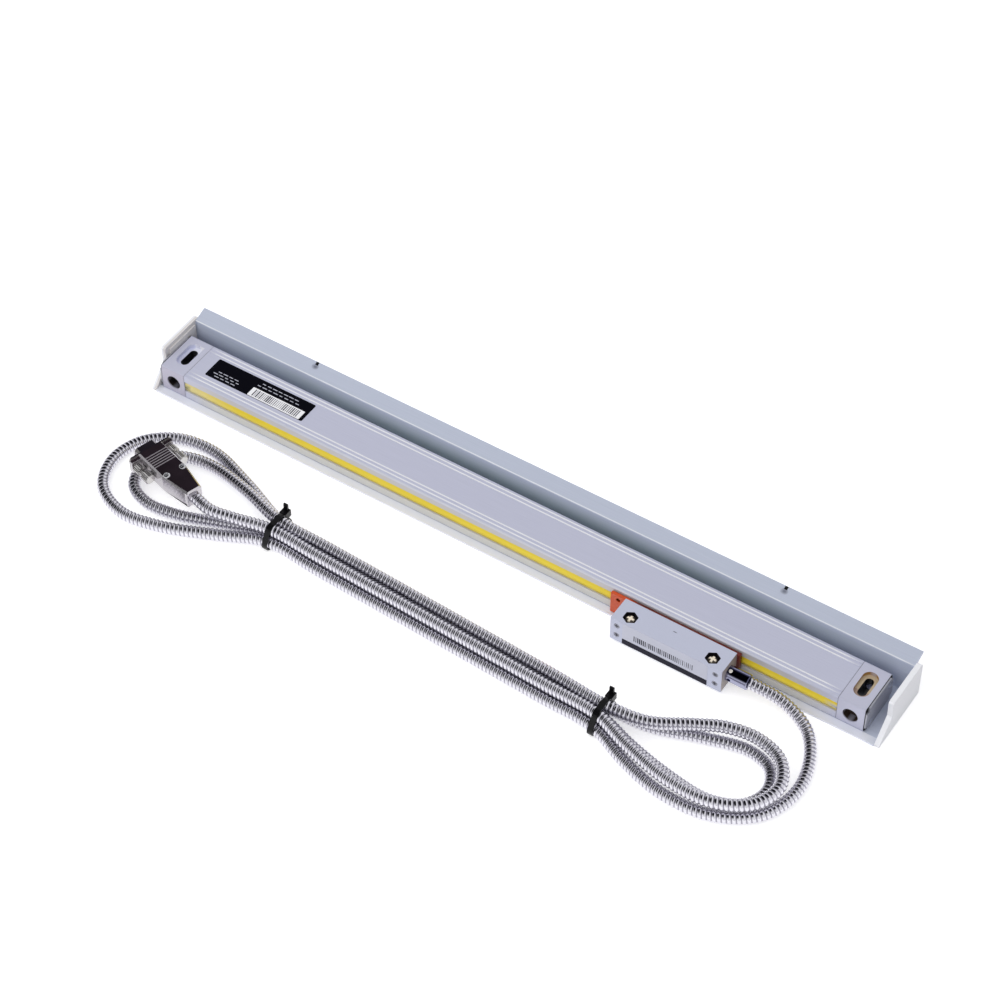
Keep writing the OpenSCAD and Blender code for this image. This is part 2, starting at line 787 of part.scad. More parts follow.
module coupling_block() {
    color("dimgray") at_reader() difference() {
        block([-block_half, block_y, slit_z - block_h / 2], [block_half, block_end, slit_z + block_h / 2]);
        block([-block_half - 1, block_y - 1, slit_z - arm_t / 2 - free_gap],
            [block_half + 1, arm_tip_y + side_gap, slit_z + arm_t / 2 + free_gap]);
        for (s = [-1, 1]) {
            translate([s * spring_mid_x, 0, slit_z]) rod_y(block_end - spring_bite - 0.2, block_end + 1, 1.7);
            translate([s * arm_screw_x, arm_screw_y, 0]) rod_z(slit_z - 2, slit_z + block_h, 1.7);
        }
    }
}

module block_screws() {
    color("gray") at_reader() for (s = [-1, 1]) translate([s * arm_screw_x, arm_screw_y, 0]) {
        rod_z(slit_z + block_h / 2, slit_z + block_h / 2 + 0.9, 3);
        rod_z(slit_z - 1.9, slit_z + block_h / 2 + eps, 1.6);
    }
}

// Blade with pointed ends that parts the lips, and its foot inside the head
module arm() {
    r = (pow(arm_l / 2, 2) + pow(arm_half_t, 2)) / (2 * arm_half_t);
    foot_y = head_back - head_wall;
    color("silver") at_reader() difference() {
        union() {
            translate([0, 0, slit_z - arm_t / 2]) linear_extrude(arm_t) {
                intersection() {
                    translate([0, arm_y + arm_half_t - r]) circle(r, $fn = 180);
                    translate([0, arm_y - arm_half_t + r]) circle(r, $fn = 180);
                }
                translate([-arm_neck / 2, foot_y - eps]) square([arm_neck, arm_y - foot_y]);
                translate([-block_half, arm_y]) square([2 * block_half, arm_tip_y - arm_y]);
            }
            block([-foot_half, foot_y - foot_t, slit_z - foot_h / 2], [foot_half, foot_y, slit_z + foot_h / 2]);
        }
        for (s = [-1, 1]) {
            translate([s * arm_screw_x, arm_screw_y, 0]) rod_z(slit_z - 1, slit_z + 1, 1.7);
            translate([s * foot_screw_x, 0, slit_z]) rod_y(foot_y - foot_t - 1, foot_y + 1, 1.9);
        }
    }
}

module arm_screws() {
    seat = head_back - head_wall - foot_t;
    color("gray") at_reader() for (s = [-1, 1]) translate([s * foot_screw_x, 0, slit_z]) {
        rod_y(seat - 1.1, seat, 3.4);
        rod_y(seat - eps, seat + foot_t + 2.3, 1.8);
    }
}

// ---- reading head --------------------------------------------------------------------------

module head_body() {
    inside = head_back - head_wall;
    front = head_front + cover_plate_t;
    color("silver") at_reader() difference() {
        union() {
            difference() {
                block([-head_half, front, head_z], [head_half, head_back, head_z + head_h]);
                block([-pocket_half, front - 1, head_z + pocket_edge],
                    [pocket_half, inside, head_z + head_h - pocket_edge]);
            }
            for (s = [-1, 1]) translate([s * post_x, 0, head_mid_z + s * 4])
                rod_y(inside - post_l, inside + eps, 2 * post_r);
        }
        block([-arm_neck / 2 - side_gap, inside - 1, slit_z - arm_t / 2 - free_gap],
            [arm_neck / 2 + side_gap, head_back + 1, slit_z + arm_t / 2 + free_gap]);
        for (s = [-1, 1]) {
            translate([s * screw_x, screw_y, 0]) {
                rod_z(head_z - 1, head_z + head_h, head_hole_d);
                translate([0, 0, pocket_floor]) rotate(30)
                    cylinder(h = hex_deep + 1, d = hex_af / cos(30), $fn = 6);
            }
            for (t = [-1, 1]) translate([s * plate_screw_x, 0, head_mid_z + t * plate_screw_z])
                rod_y(front - 1, front + 6, 2.1);
            translate([s * foot_screw_x, 0, slit_z]) rod_y(inside - 1, inside + 2.4, 1.9);
            translate([s * post_x, 0, head_mid_z + s * 4]) rod_y(inside - post_l - 1, inside - 1, 1.7);
        }
        translate([0, gland_y, gland_z]) rod_x(head_half - stub_l - side_gap, head_half + 1, stub_d + 0.1);
        translate([0, wire_y, gland_z]) rod_x(pocket_half - 1, head_half - stub_l, wire_d);
    }
}

module head_board() {
    y1 = head_back - head_wall - post_l;
    color("darkgreen") at_reader() difference() {
        union() {
            block([-board_half, y1 - head_board_t, head_z + 3.2],
                [board_half, y1, head_z + head_h - 3.2]);
            block([-9, y1 - head_board_t - 2, head_z + 5], [3, y1 - head_board_t + eps, head_z + 12]);
            block([8, y1 - head_board_t - 3.2, head_z + 6], [12, y1 - head_board_t + eps, head_z + 13]);
        }
        for (s = [-1, 1]) translate([s * post_x, 0, head_mid_z + s * 4])
            rod_y(y1 - head_board_t - 1, y1 + 1, 1.7);
    }
}

module board_screws() {
    seat = head_back - head_wall - post_l - head_board_t;
    color("gray") at_reader() for (s = [-1, 1])
        translate([s * post_x, 0, head_mid_z + s * 4]) small_screw(seat, head_board_t + 3);
}

// Countersunk head screw of the front cover along +Y, larger by grow
module cover_head(grow) {
    translate([0, head_front, 0]) rotate([-90, 0, 0])
        cylinder(h = 1.1, d1 = 4.2 + grow, d2 = 2 + grow);
}

module head_cover() {
    color("gainsboro") at_reader() difference() {
        block([-head_half, head_front, head_z], [head_half, head_front + cover_plate_t, head_z + head_h]);
        for (s = [-1, 1], t = [-1, 1])
            translate([s * plate_screw_x, 0, head_mid_z + t * plate_screw_z]) {
                rod_y(head_front - 1, head_front + cover_plate_t + 1, 2.2);
                cover_head(0.1);
            }
    }
}

module head_cover_screws() {
    color("gray") at_reader() for (s = [-1, 1], t = [-1, 1])
        translate([s * plate_screw_x, 0, head_mid_z + t * plate_screw_z]) {
            cover_head(0);
            rod_y(head_front + 1, head_front + cover_plate_t + 5, 2);
        }
}

module head_screws() {
    color("lightgray") at_reader() for (s = [-1, 1]) translate([s * screw_x, screw_y, 0]) {
        rod_z(head_z + 0.3, pocket_floor + eps, 4);
        rod_z(pocket_floor, pocket_floor + 1.6, head_screw_d);
        translate([0, 0, pocket_floor + 1.6 - eps])
            cylinder(h = 1, d1 = head_screw_d, d2 = head_screw_d - 2);
    }
}

module gland() {
    color("gainsboro") at_reader() translate([head_half, gland_y, gland_z]) difference() {
        union() {
            rod_x(-stub_l, eps, stub_d);
            rod_x(0, gland_l - 0.5, gland_d);
            translate([gland_l - 0.5 - eps, 0, 0]) rotate([0, 90, 0])
                cylinder(h = 0.5 + eps, d1 = gland_d, d2 = gland_d - 1);
        }
        rod_x(-stub_l - 1, gland_l + 1, 4);
        translate([2.6, -gland_d / 2 - 0.1, 0]) rod_y(0, 2.4, 2.4);
    }
}

module transport_bracket() {
    y0 = head_back;
    y1 = head_back + bracket_t;
    color("orangered") at_reader() difference() {
        along_x(-bracket_left, bracket_right) round_rect(y0, cover_t + 0.7, y1, bracket_top, 0.3);
        block([-arm_l / 2 - 2, y0 - 1, slit_z - 2], [arm_l / 2 + 2, y1 + 1, slit_z + 2]);
        translate([-bracket_hole_x, 0, bracket_top - 3.8]) rod_y(y0 - 1, y1 + 1, 3);
    }
}

// ---- cable and ties ------------------------------------------------------------------------

module cable() {
    last_dir = [-cos(plug_turn), -sin(plug_turn), 0];
    color("darkgray") tube(cable_line(cable_route), cable_d, cable_sides, [1, 0, 0], last_dir);
}

// Outline round the five runs of cable, grow outside their skins
module tie_outline(grow) {
    hull() for (p = [[-1, 0], [1, 0], [-0.5, 1], [0.5, 1]])
        translate([p[0] * tie_step, p[1] * tie_rise]) circle(cable_d / 2 + grow, $fn = 24);
}

module tie(i) {
    back_y = tie_step / 2 + cable_d / 2 + side_gap;
    translate([tie_at[i] - tie_w / 2, tie_mid_y[i], tie_low]) {
        rotate([90, 0, 90]) linear_extrude(tie_w) difference() {
            tie_outline(side_gap + tie_t);
            tie_outline(side_gap);
        }
        translate([-0.6, 0, 0]) difference() {
            block([0, back_y - 1.2, tie_rise - 0.6], [tie_w + 1.2, back_y + 4.2, tie_rise + 4.4]);
            rotate([90, 0, 90]) translate([0, 0, -1]) linear_extrude(tie_w + 4)
                tie_outline(side_gap + tie_t / 2);
        }
        translate([0.3, back_y + 2, tie_rise + 3]) block([0, 0, 0], [tie_w - 0.6, 1.2, 6.5]);
    }
}

module tie_left() { color("black") tie(0); }
module tie_right() { color("black") tie(1); }

// ---- plug ----------------------------------------------------------------------------------

module at_plug() { translate(plug_at) rotate([0, 0, plug_turn]) children(); }

// Outline of the mating shell in (Y, Z), narrower at the top, grow outside its nominal size
module shell_outline(grow) {
    w = shell_w / 2 + grow;
    h = shell_h / 2 + grow;
    polygon([
        [-w + 1.6, -h], [w - 1.6, -h], [w - 0.3, -h + 1.2], [w - 1.1, h - 1.2], [w - 2.6, h],
        [-w + 2.6, h], [-w + 1.1, h - 1.2], [-w + 0.3, -h + 1.2]
    ]);
}

module plug_shell() {
    color("gainsboro") at_plug() {
        along_x(0, shell_l + eps) difference() {
            shell_outline(0);
            shell_outline(-shell_t);
        }
        difference() {
            along_x(shell_l, hood_x) round_rect(-plate_w / 2, -plate_h / 2, plate_w / 2, plate_h / 2, 2);
            along_x(shell_l - 1, hood_x + 1) shell_outline(-shell_t);
            for (s = [-1, 1]) translate([0, s * jack_gap / 2, 0]) rod_x(shell_l - 1, hood_x + 1, jack_hole_d);
        }
    }
}

// Places of the nine contacts in (Y, Z)
contacts = [
    for (i = [0 : 4]) [(i - 2) * 2.74, -1.42],
    for (i = [0 : 3]) [(i - 1.5) * 2.74, 1.42]
];

module plug_insulator() {
    color([0.12, 0.12, 0.13]) at_plug() difference() {
        along_x(0.4, hood_x + 4) shell_outline(-shell_t - free_gap);
        for (c = contacts) translate([0, c[0], c[1]]) rod_x(-1, hood_x + 6, 1.4);
    }
}

module plug_sockets() {
    color("goldenrod") at_plug() for (c = contacts) translate([0, c[0], c[1]]) difference() {
        rod_x(0.8, hood_x + 8, 1.3);
        rod_x(0, 6, 0.9);
    }
}

// Outline of the hood in (X, Y), inset all round
module hood_outline(inset) {
    w = hood_w / 2 - inset;
    e = hood_end_w / 2 - inset;
    polygon([
        [hood_x, -w], [taper_x, -w], [hood_x + hood_l - 3 - inset, -e], [hood_x + hood_l - inset, -e],
        [hood_x + hood_l - inset, e], [hood_x + hood_l - 3 - inset, e], [taper_x, w], [hood_x, w]
    ]);
}

// One half of the hood, drawn upwards from the split
module hood_half() {
    half = hood_h / 2;
    inside = hood_wall;
    ear_w = plate_w / 2;
    difference() {
        union() {
            difference() {
                union() {
                    linear_extrude(half - bevel) hood_outline(0);
                    hull() {
                        translate([0, 0, half - bevel - eps]) linear_extrude(eps) hood_outline(0);
                        translate([0, 0, half - eps]) linear_extrude(eps) hood_outline(bevel);
                    }
                }
                translate([0, 0, -1]) linear_extrude(half - inside + 1) intersection() {
                    hood_outline(inside);
                    translate([hood_x + inside, -hood_w]) square([hood_l - 5, 2 * hood_w]);
                }
            }
            for (s = [-1, 1]) {
                translate([hood_screw_x, s * hood_screw_y, 0]) rod_z(0, half - bevel, 4.6);
                block([hood_x, s > 0 ? hood_w / 2 - inside : -ear_w, 0],
                    [hood_x + ear_l, s > 0 ? ear_w : inside - hood_w / 2, ear_h / 2]);
            }
        }
        along_x(hood_x - 1, hood_x + inside + 1) shell_outline(0.2);
        rod_x(hood_x + hood_l - 8, hood_x + hood_l + 1, cable_d - 1);
        for (s = [-1, 1]) {
            translate([0, s * jack_gap / 2, 0]) rod_x(hood_x - 1, hood_x + ear_l + 1, jack_hole_d);
            translate([hood_screw_x, s * hood_screw_y, 0]) rod_z(-1, half + 1, 2.2);
        }
    }
}

module hood_lower() { color([0.35, 0.32, 0.36]) at_plug() mirror([0, 0, 1]) hood_half(); }

module hood_upper() {
    color([0.35, 0.32, 0.36]) at_plug() difference() {
        hood_half();
        for (i = [0 : 5]) translate([hood_x + 6 + 2 * i, 0, hood_h / 2])
            cube([0.8, hood_w - 2 * bevel, 0.6], center = true);
    }
}

module hood_screws() {
    color("lightgray") at_plug() for (s = [-1, 1]) translate([hood_screw_x, s * hood_screw_y, 0]) {
        rod_z(-hood_h / 2 + 1, hood_h / 2 + eps, 2.1);
        rod_z(hood_h / 2, hood_h / 2 + 0.7, 4.6);
        translate([0, 0, hood_h / 2 + 0.7 - eps]) cylinder(h = 0.7, d1 = 4.6, d2 = 3);
    }
}

// Thumb screw beside the hood, turned about its own axis
module jackscrew(side) {
    r = jack_d / 2;
    neck = 2;
    at_plug() translate([0, side * jack_gap / 2, 0]) rotate([0, 90, 0]) rotate_extrude() polygon([
        [0, jack_from], [jack_shank_d / 2, jack_from + 0.5], [jack_shank_d / 2, jack_knob],
        [r - 0.4, jack_knob], [r, jack_knob + 0.4], [r, jack_knob + 5], [neck, jack_knob + 5.6],
        [neck, jack_knob + 8], [r, jack_knob + 8.6], [r, jack_end - 0.5], [r - 0.5, jack_end],
        [0, jack_end]
    ]);
}

module jackscrew_front() { color("silver") jackscrew(-1); }
module jackscrew_back() { color("silver") jackscrew(1); }

cover_channel();
cap_left();
cap_right();
housing();
end_block_left();
end_block_right();
joint_gasket_left();
joint_gasket_right();
end_gasket_left();
end_gasket_right();
end_plate_left();
end_plate_right();
end_screws();
lip_upper();
lip_lower();
glass_scale();
glass_strip();
carriage();
face_roller_left();
face_roller_middle();
face_roller_right();
edge_roller_left();
edge_roller_right();
roller_pins();
reticle();
detector_board();
lamp_board();
coupling_spring();
spring_screws();
coupling_block();
block_screws();
arm();
arm_screws();
head_body();
head_board();
board_screws();
head_cover();
head_cover_screws();
head_screws();
gland();
transport_bracket();
cable();
tie_left();
tie_right();
hood_lower();
hood_upper();
hood_screws();
plug_shell();
plug_insulator();
plug_sockets();
jackscrew_front();
jackscrew_back();
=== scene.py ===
"""Finish of a linear glass scale: materials, armoured lead, labels, screw heads and studio.

Everything is in metres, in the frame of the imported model: +X runs along the scale, -Y is the
side of the reading head and +Z is up.
"""
import json
import logging
import math
from collections.abc import Callable, Sequence
from dataclasses import dataclass, field, replace
from enum import Enum
from functools import cache

import bmesh
import bpy
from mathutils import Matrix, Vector

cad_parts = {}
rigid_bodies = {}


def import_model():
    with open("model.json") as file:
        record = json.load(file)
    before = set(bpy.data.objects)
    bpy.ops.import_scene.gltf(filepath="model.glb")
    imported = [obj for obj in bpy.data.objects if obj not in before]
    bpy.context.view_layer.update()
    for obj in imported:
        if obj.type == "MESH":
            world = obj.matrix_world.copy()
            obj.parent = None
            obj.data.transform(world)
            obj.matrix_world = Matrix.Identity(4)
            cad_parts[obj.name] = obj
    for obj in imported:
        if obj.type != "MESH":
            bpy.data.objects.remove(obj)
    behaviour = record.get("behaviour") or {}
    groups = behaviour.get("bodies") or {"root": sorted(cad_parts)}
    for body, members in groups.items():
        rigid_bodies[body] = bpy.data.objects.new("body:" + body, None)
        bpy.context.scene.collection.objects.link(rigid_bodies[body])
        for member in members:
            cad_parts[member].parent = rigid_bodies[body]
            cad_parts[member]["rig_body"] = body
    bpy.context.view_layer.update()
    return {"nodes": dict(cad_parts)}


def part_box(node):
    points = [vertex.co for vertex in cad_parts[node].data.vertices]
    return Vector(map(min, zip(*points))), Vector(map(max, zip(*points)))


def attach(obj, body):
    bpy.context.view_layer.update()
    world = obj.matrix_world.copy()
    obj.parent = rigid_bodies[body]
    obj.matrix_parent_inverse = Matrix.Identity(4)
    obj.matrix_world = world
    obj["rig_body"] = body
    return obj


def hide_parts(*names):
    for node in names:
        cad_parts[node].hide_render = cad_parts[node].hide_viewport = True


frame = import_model()

MM = 0.001
LOG = logging.getLogger("glass_scale")
Point = tuple[float, float, float]
Socket = bpy.types.NodeSocket
Object = bpy.types.Object


# ---- colours and nodes ----


def linear(hex_colour: str) -> tuple[float, float, float, float]:
    """Turn an sRGB hex colour into linear red, green, blue and alpha.

    Args:
        hex_colour: Six hex digits after a hash sign.

    Returns:
        The linear colour with an alpha of 1.
    """
    parts = [int(hex_colour[i:i + 2], 16) / 255 for i in (1, 3, 5)]
    red, green, blue = (p / 12.92 if p <= 0.04045 else ((p + 0.055) / 1.055) ** 2.4 for p in parts)
    return red, green, blue, 1.0


def pick(sockets: bpy.types.bpy_prop_collection, key: str | int) -> Socket:
    """Find a socket: of several with one name, the one that is in use.

    Args:
        sockets: Inputs or outputs of a node.
        key: Name, identifier or number of the socket.

    Returns:
        The socket.
    """
    if isinstance(key, int):
        return sockets[key]
    named = [s for s in sockets if key in (s.name, s.identifier)]
    return next((s for s in named if s.enabled), named[0])


def add(tree: bpy.types.NodeTree, kind: str, inputs: dict | None = None, **settings) -> bpy.types.Node:
    """Add a node to a tree, with its settings, values and links.

    Args:
        tree: Node tree that takes the node.
        kind: Blender's name of the node type.
        inputs: Values or output sockets, by the name, identifier or number of the input.
        **settings: Properties of the node itself.

    Returns:
        The new node.
    """
    node = tree.nodes.new(kind)
    for name, value in settings.items():
        setattr(node, name, value)
    for key, value in (inputs or {}).items():
        socket = pick(node.inputs, key)
        if isinstance(value, Socket):
            tree.links.new(value, socket)
        else:
            socket.default_value = value
    return node


class Nodes:
    """A node tree, with a short call for each kind of node that recurs."""

    def __init__(self, tree: bpy.types.NodeTree) -> None:
        """Keep the tree, emptied of what it starts with."""
        tree.nodes.clear()
        self.tree = tree

    def node(self, kind: str, inputs: dict | None = None, **settings) -> bpy.types.NodeOutputs:
        """Add a node and return its outputs."""
        return add(self.tree, kind, inputs, **settings).outputs

    def maths(self, operation: str, *values, **settings) -> Socket:
        """Add a Math node for the operation and return its result."""
        return self.node("ShaderNodeMath", dict(enumerate(values)), operation=operation, **settings)[0]

    def vector(self, operation: str, *values, **named) -> Socket:
        """Add a Vector Math node and return the output that its operation fills."""
        inputs = {**dict(enumerate(values)), **named}
        return next(s for s in self.node("ShaderNodeVectorMath", inputs, operation=operation)
                    if s.enabled)

    def where(self, kind: str = "Object") -> Socket:
        """Return the texture coordinates of a kind."""
        return self.node("ShaderNodeTexCoord")[kind]

    def axes(self, vector: Socket) -> bpy.types.NodeOutputs:
        """Split a vector and return its parts, by the letter of the axis."""
        return self.node("ShaderNodeSeparateXYZ", {"Vector": vector})

    def spread(self, value: Socket, low: float = 0.0, high: float = 1.0, first: float = 0.0,
               last: float = 1.0, **settings) -> Socket:
        """Map a value from one range to another, and hold it there.

        Args:
            value: Socket with the value.
            low: Start of the range that it comes from.
            high: End of that range.
            first: What the start becomes.
            last: What the end becomes.
            **settings: Properties of the node.

        Returns:
            The socket with the result.
        """
        return self.node("ShaderNodeMapRange", {
            "Value": value, "From Min": low, "From Max": high, "To Min": first, "To Max": last,
        }, **settings)["Result"]

    def mix(self, share: Socket, first: Socket | str, second: Socket | str) -> Socket:
        """Mix two colours, each a socket or a hex colour.

        Args:
            share: Socket with the share of the second, from 0 to 1.
            first: Colour at 0.
            second: Colour at 1.

        Returns:
            The socket with the colour.
        """
        first, second = (linear(c) if isinstance(c, str) else c for c in (first, second))
        return pick(self.node("ShaderNodeMix", {"Factor_Float": share, "A_Color": first,
                                                "B_Color": second}, data_type="RGBA"), "Result")


# ---- finishes ----


class Lay(Enum):
    """Direction of the fine lines that a surface was left with, as the scale of its pattern."""

    EVEN = (1.0, 1.0, 1.0)
    ALONG_X = (0.02, 1.0, 1.0)
    ALONG_Y = (1.0, 0.04, 1.0)


@dataclass(frozen=True)
class Patch:
    """Part of a surface with another colour, either its own, such as a scratch, or painted light or
    shade, such as painted shade inside a bore or a painted highlight on a crest.

    Attributes:
        centre: Middle of the box that holds the patch, in millimetres.
        reach: Half the box along each axis, in millimetres.
        colour: Colour inside the box.
        apart: Distance in millimetres along X to each of two boxes. At 0 there is one box.
        soft: Share of the box over which the colour fades out.
        oval: Whether the patch is the oval in the box, and not the box itself.
    """

    centre: Point
    reach: Point
    colour: str
    apart: float = 0.0
    soft: float = 0.05
    oval: bool = False

    def cover(self, t: Nodes, under: Socket) -> Socket:
        """Lay the patch over a colour.

        Args:
            t: Nodes of the material.
            under: Socket with the colour beneath.

        Returns:
            The socket with the colour that results.
        """
        place = t.vector("SUBTRACT", t.where(), tuple(v * MM for v in self.centre))
        place = t.vector("SUBTRACT", t.vector("ABSOLUTE", place), (self.apart * MM, 0, 0))
        place = t.vector("DIVIDE", t.vector("ABSOLUTE", place), tuple(v * MM for v in self.reach))
        if self.oval:
            far = t.vector("LENGTH", place)
        else:
            parts = t.axes(place)
            far = t.maths("MAXIMUM", t.maths("MAXIMUM", parts["X"], parts["Y"]), parts["Z"])
        return t.mix(t.spread(far, 1 - self.soft, 1.0, 1.0, 0.0), under, self.colour)


@dataclass(frozen=True)
class Finish:
    """A surface as it was made: its colours, shine, and the size and depth of its grain.

    Attributes:
        name: Common name of the finish.
        slot: Material slot of the record that it belongs to. Not used.
        light: Main colour.
        dark: Colour of the darker specks, streaks or hollows.
        metallic: 1 for bare metal, 0 for plastic, rubber, lacquer or glass.
        roughness: Mean roughness.
        grain: Real size of the pattern, in millimetres.
        depth: Height of the pattern in millimetres, for its bump.
        lay: Direction of the pattern.
        mottle: Share of the darker colour at the pattern's full strength.
        coat: Weight of a clear coat.
        coat_roughness: Roughness of that coat.
        shine: Strength of the plain, uncoloured reflection.
        patches: Places with another colour, from the first laid to the last.
        contrast: Levels of the noise between which the pattern runs from 0 to 1.
        uneven: How far the pattern moves the roughness either way, as a share of it.
        raised: Strength of the bump.
    """

    name: str
    slot: str
    light: str
    dark: str
    metallic: float = 0.0
    roughness: float = 0.5
    grain: float = 1.0
    depth: float = 0.01
    lay: Lay = Lay.EVEN
    mottle: float = 0.35
    coat: float = 0.0
    coat_roughness: float = 0.1
    shine: float = 0.5
    patches: tuple[Patch, ...] = ()
    contrast: tuple[float, float] = (0.3, 0.7)
    uneven: float = 0.15
    raised: float = 0.6

    def material(self) -> bpy.types.Material:
        """Build the material, or find the one that this finish has already made.

        Returns:
            The material, named for the finish.
        """
        made = bpy.data.materials.get(self.name)
        if made is not None:
            return made
        made = bpy.data.materials.new(self.name)
        made.use_nodes = True
        t = Nodes(made.node_tree)
        shader = t.node("ShaderNodeBsdfPrincipled", {
            "Metallic": self.metallic, "Roughness": self.roughness, "Coat Weight": self.coat,
            "Coat Roughness": self.coat_roughness, "Specular IOR Level": self.shine,
            **self.paint(t),
        })
        t.node("ShaderNodeOutputMaterial", {"Surface": shader["BSDF"]})
        return made

    def pattern(self, t: Nodes) -> Socket:
        """Add the grain, noise at its real size drawn out along its lay.

        Args:
            t: Nodes of the material.

        Returns:
            The socket with the strength of the pattern, from 0 to 1.
        """
        turned = t.node("ShaderNodeMapping", {"Vector": t.where(), "Scale": self.lay.value})
        noise = t.node("ShaderNodeTexNoise", {"Vector": turned["Vector"], "Detail": 3.0,
                                              "Scale": 1 / (self.grain * MM)})
        return t.spread(noise["Fac"], *self.contrast)

    def tone(self, t: Nodes, strength: Socket) -> Socket:
        """Mix the two colours by a pattern, as far as the mottle allows."""
        return t.mix(t.maths("MULTIPLY", strength, self.mottle), self.light, self.dark)

    def patched(self, t: Nodes, colour: Socket) -> Socket:
        """Lay the patches over a colour.

        Args:
            t: Nodes of the material.
            colour: Socket with the colour.

        Returns:
            The socket with the colour that results.
        """
        for patch in self.patches:
            colour = patch.cover(t, colour)
        return colour

    def relief(self, t: Nodes, strength: Socket) -> dict[str, Socket]:
        """Let a pattern vary the roughness and raise a bump.

        Args:
            t: Nodes of the material.
            strength: Socket with the pattern.

        Returns:
            The shader's roughness and normal, by name.
        """
        rough = t.spread(strength, 0.0, 1.0, self.roughness * (1 - self.uneven),
                         self.roughness * (1 + self.uneven))
        bump = t.node("ShaderNodeBump", {"Height": strength, "Distance": self.depth * MM,
                                         "Strength": self.raised})
        return {"Roughness": rough, "Normal": bump["Normal"]}

    def paint(self, t: Nodes) -> dict[str, Socket | float]:
        """Return the shader's colour, roughness and normal, all led by the grain."""
        strength = self.pattern(t)
        return {"Base Color": self.patched(t, self.tone(t, strength)), **self.relief(t, strength)}


@dataclass(frozen=True)
class LipFinish(Finish):
    """Rubber lip that grows paler towards the left end of the scale.

    Attributes:
        pale: Colour of the pale end.
        fade_from: Place along the scale where the paling is full.
        fade_to: Place along the scale where it has gone.
    """

    pale: str = "#FFFFFF"
    fade_from: float = -236 * MM
    fade_to: float = -190 * MM

    def paint(self, t: Nodes) -> dict[str, Socket | float]:
        """Let the colour pale towards the end, over the grain of the rubber.

        Args:
            t: Nodes of the material.

        Returns:
            The shader's inputs, by name.
        """
        strength = self.pattern(t)
        fade = t.spread(t.axes(t.where())["X"], self.fade_from, self.fade_to, 1.0, 0.0,
                        interpolation_type="SMOOTHSTEP")
        colour = t.mix(fade, self.tone(t, strength), self.pale)
        return {"Base Color": self.patched(t, colour), **self.relief(t, strength)}


@dataclass(frozen=True)
class ArmourFinish(Finish):
    """Wound steel strip: bright ribs, and painted grey shade in the grooves where one turn hooks into
    the next.

    Attributes:
        flecks: Colour of the duller flecks on the ribs.
        edge: Depths between which a rib turns into a groove, as shares of the groove.
        dull: Roughness down in the groove.
    """

    flecks: str = "#A9A7B0"
    edge: tuple[float, float] = (0.45, 1.0)
    dull: float = 0.5

    def paint(self, t: Nodes) -> dict[str, Socket | float]:
        """Paint grey shade into the grooves, and lead the roughness by their depth.

        Args:
            t: Nodes of the material.

        Returns:
            The shader's inputs, by name.
        """
        groove = t.node("ShaderNodeAttribute", attribute_name="groove")["Fac"]
        deep = t.spread(groove, *self.edge, interpolation_type="SMOOTHSTEP")
        ribs = t.mix(t.maths("MULTIPLY", self.pattern(t), self.mottle), self.light, self.flecks)
        return {"Base Color": t.mix(deep, ribs, self.dark),
                "Roughness": t.spread(deep, 0.0, 1.0, self.roughness, self.dull)}


@dataclass(frozen=True)
class PlatedFinish(Finish):
    """Plated hood with painted reflections: its flat top is painted dark and mirror-like, its slopes
    and sides bright.

    Attributes:
        side: Colour of the painted bright reflection on the slopes, the sides and the floors of the
            grip lines.
        floor: Height of the floors of the grip lines, or any below the piece for none.
        floor_t: How far from that height still counts.
        line_glint: How far those floors are painted towards the bright colour, as highlights.
        level: Upward parts of the normal between which a slope turns into a top.
    """

    side: str = "#FFFFFF"
    floor: float = 21.0 * MM
    floor_t: float = 0.1 * MM
    line_glint: float = 0.55
    level: tuple[float, float] = (0.9, 0.98)

    def paint(self, t: Nodes) -> dict[str, Socket | float]:
        """Paint the reflection by how level the surface is.

        Args:
            t: Nodes of the material.

        Returns:
            The shader's inputs, by name.
        """
        flat = t.spread(t.axes(t.where("Normal"))["Z"], *self.level)
        lines = t.maths("COMPARE", t.axes(t.where())["Z"], self.floor, self.floor_t)
        top = t.maths("MULTIPLY_ADD", lines, -self.line_glint, flat, use_clamp=True)
        return {"Base Color": t.mix(top, self.side, self.tone(t, self.pattern(t)))}


@dataclass(frozen=True)
class GlassFinish(Finish):
    """Float glass with a fine grating across it.

    Attributes:
        pitch: Distance from line to line. The real 0.02 mm is drawn coarser, so that it shows.
        line: Levels of the wave between which glass turns into a line.
        ior: Index of refraction.
        clear: Weight of the light that goes through.
    """

    pitch: float = 0.4 * MM
    line: tuple[float, float] = (0.75, 0.85)
    ior: float = 1.5
    clear: float = 0.9

    def paint(self, t: Nodes) -> dict[str, Socket | float]:
        """Make the shader glass, with chrome-dark lines across the length.

        Args:
            t: Nodes of the material.

        Returns:
            The shader's inputs, by name.
        """
        wave = t.node("ShaderNodeTexWave", {"Vector": t.where(),
                                            "Scale": math.pi / (10 * self.pitch)},
                      wave_type="BANDS", bands_direction="X")
        lines = self.tone(t, t.spread(wave["Fac"], *self.line))
        return {"IOR": self.ior, "Transmission Weight": self.clear, "Base Color": lines}


@dataclass(frozen=True)
class BoardFinish(Finish):
    """Circuit board: solder mask with tinned pads in rows.

    Attributes:
        pad: Distance from pad to pad.
        rim: Distances from a pad's middle between which it turns into mask, as shares of a cell.
        strayed: How far the pads stray from their rows.
    """

    pad: float = 1.27 * MM
    rim: tuple[float, float] = (0.2, 0.24)
    strayed: float = 0.15

    def paint(self, t: Nodes) -> dict[str, Socket | float]:
        """Lay a grid of pads over the solder mask.

        Args:
            t: Nodes of the material.

        Returns:
            The shader's inputs, by name.
        """
        cells = t.node("ShaderNodeTexVoronoi", {"Vector": t.where(), "Scale": 1 / self.pad,
                                                "Randomness": self.strayed})
        pads = t.spread(cells["Distance"], *self.rim, 1.0, 0.0)
        return {"Base Color": self.tone(t, pads), **self.relief(t, pads)}
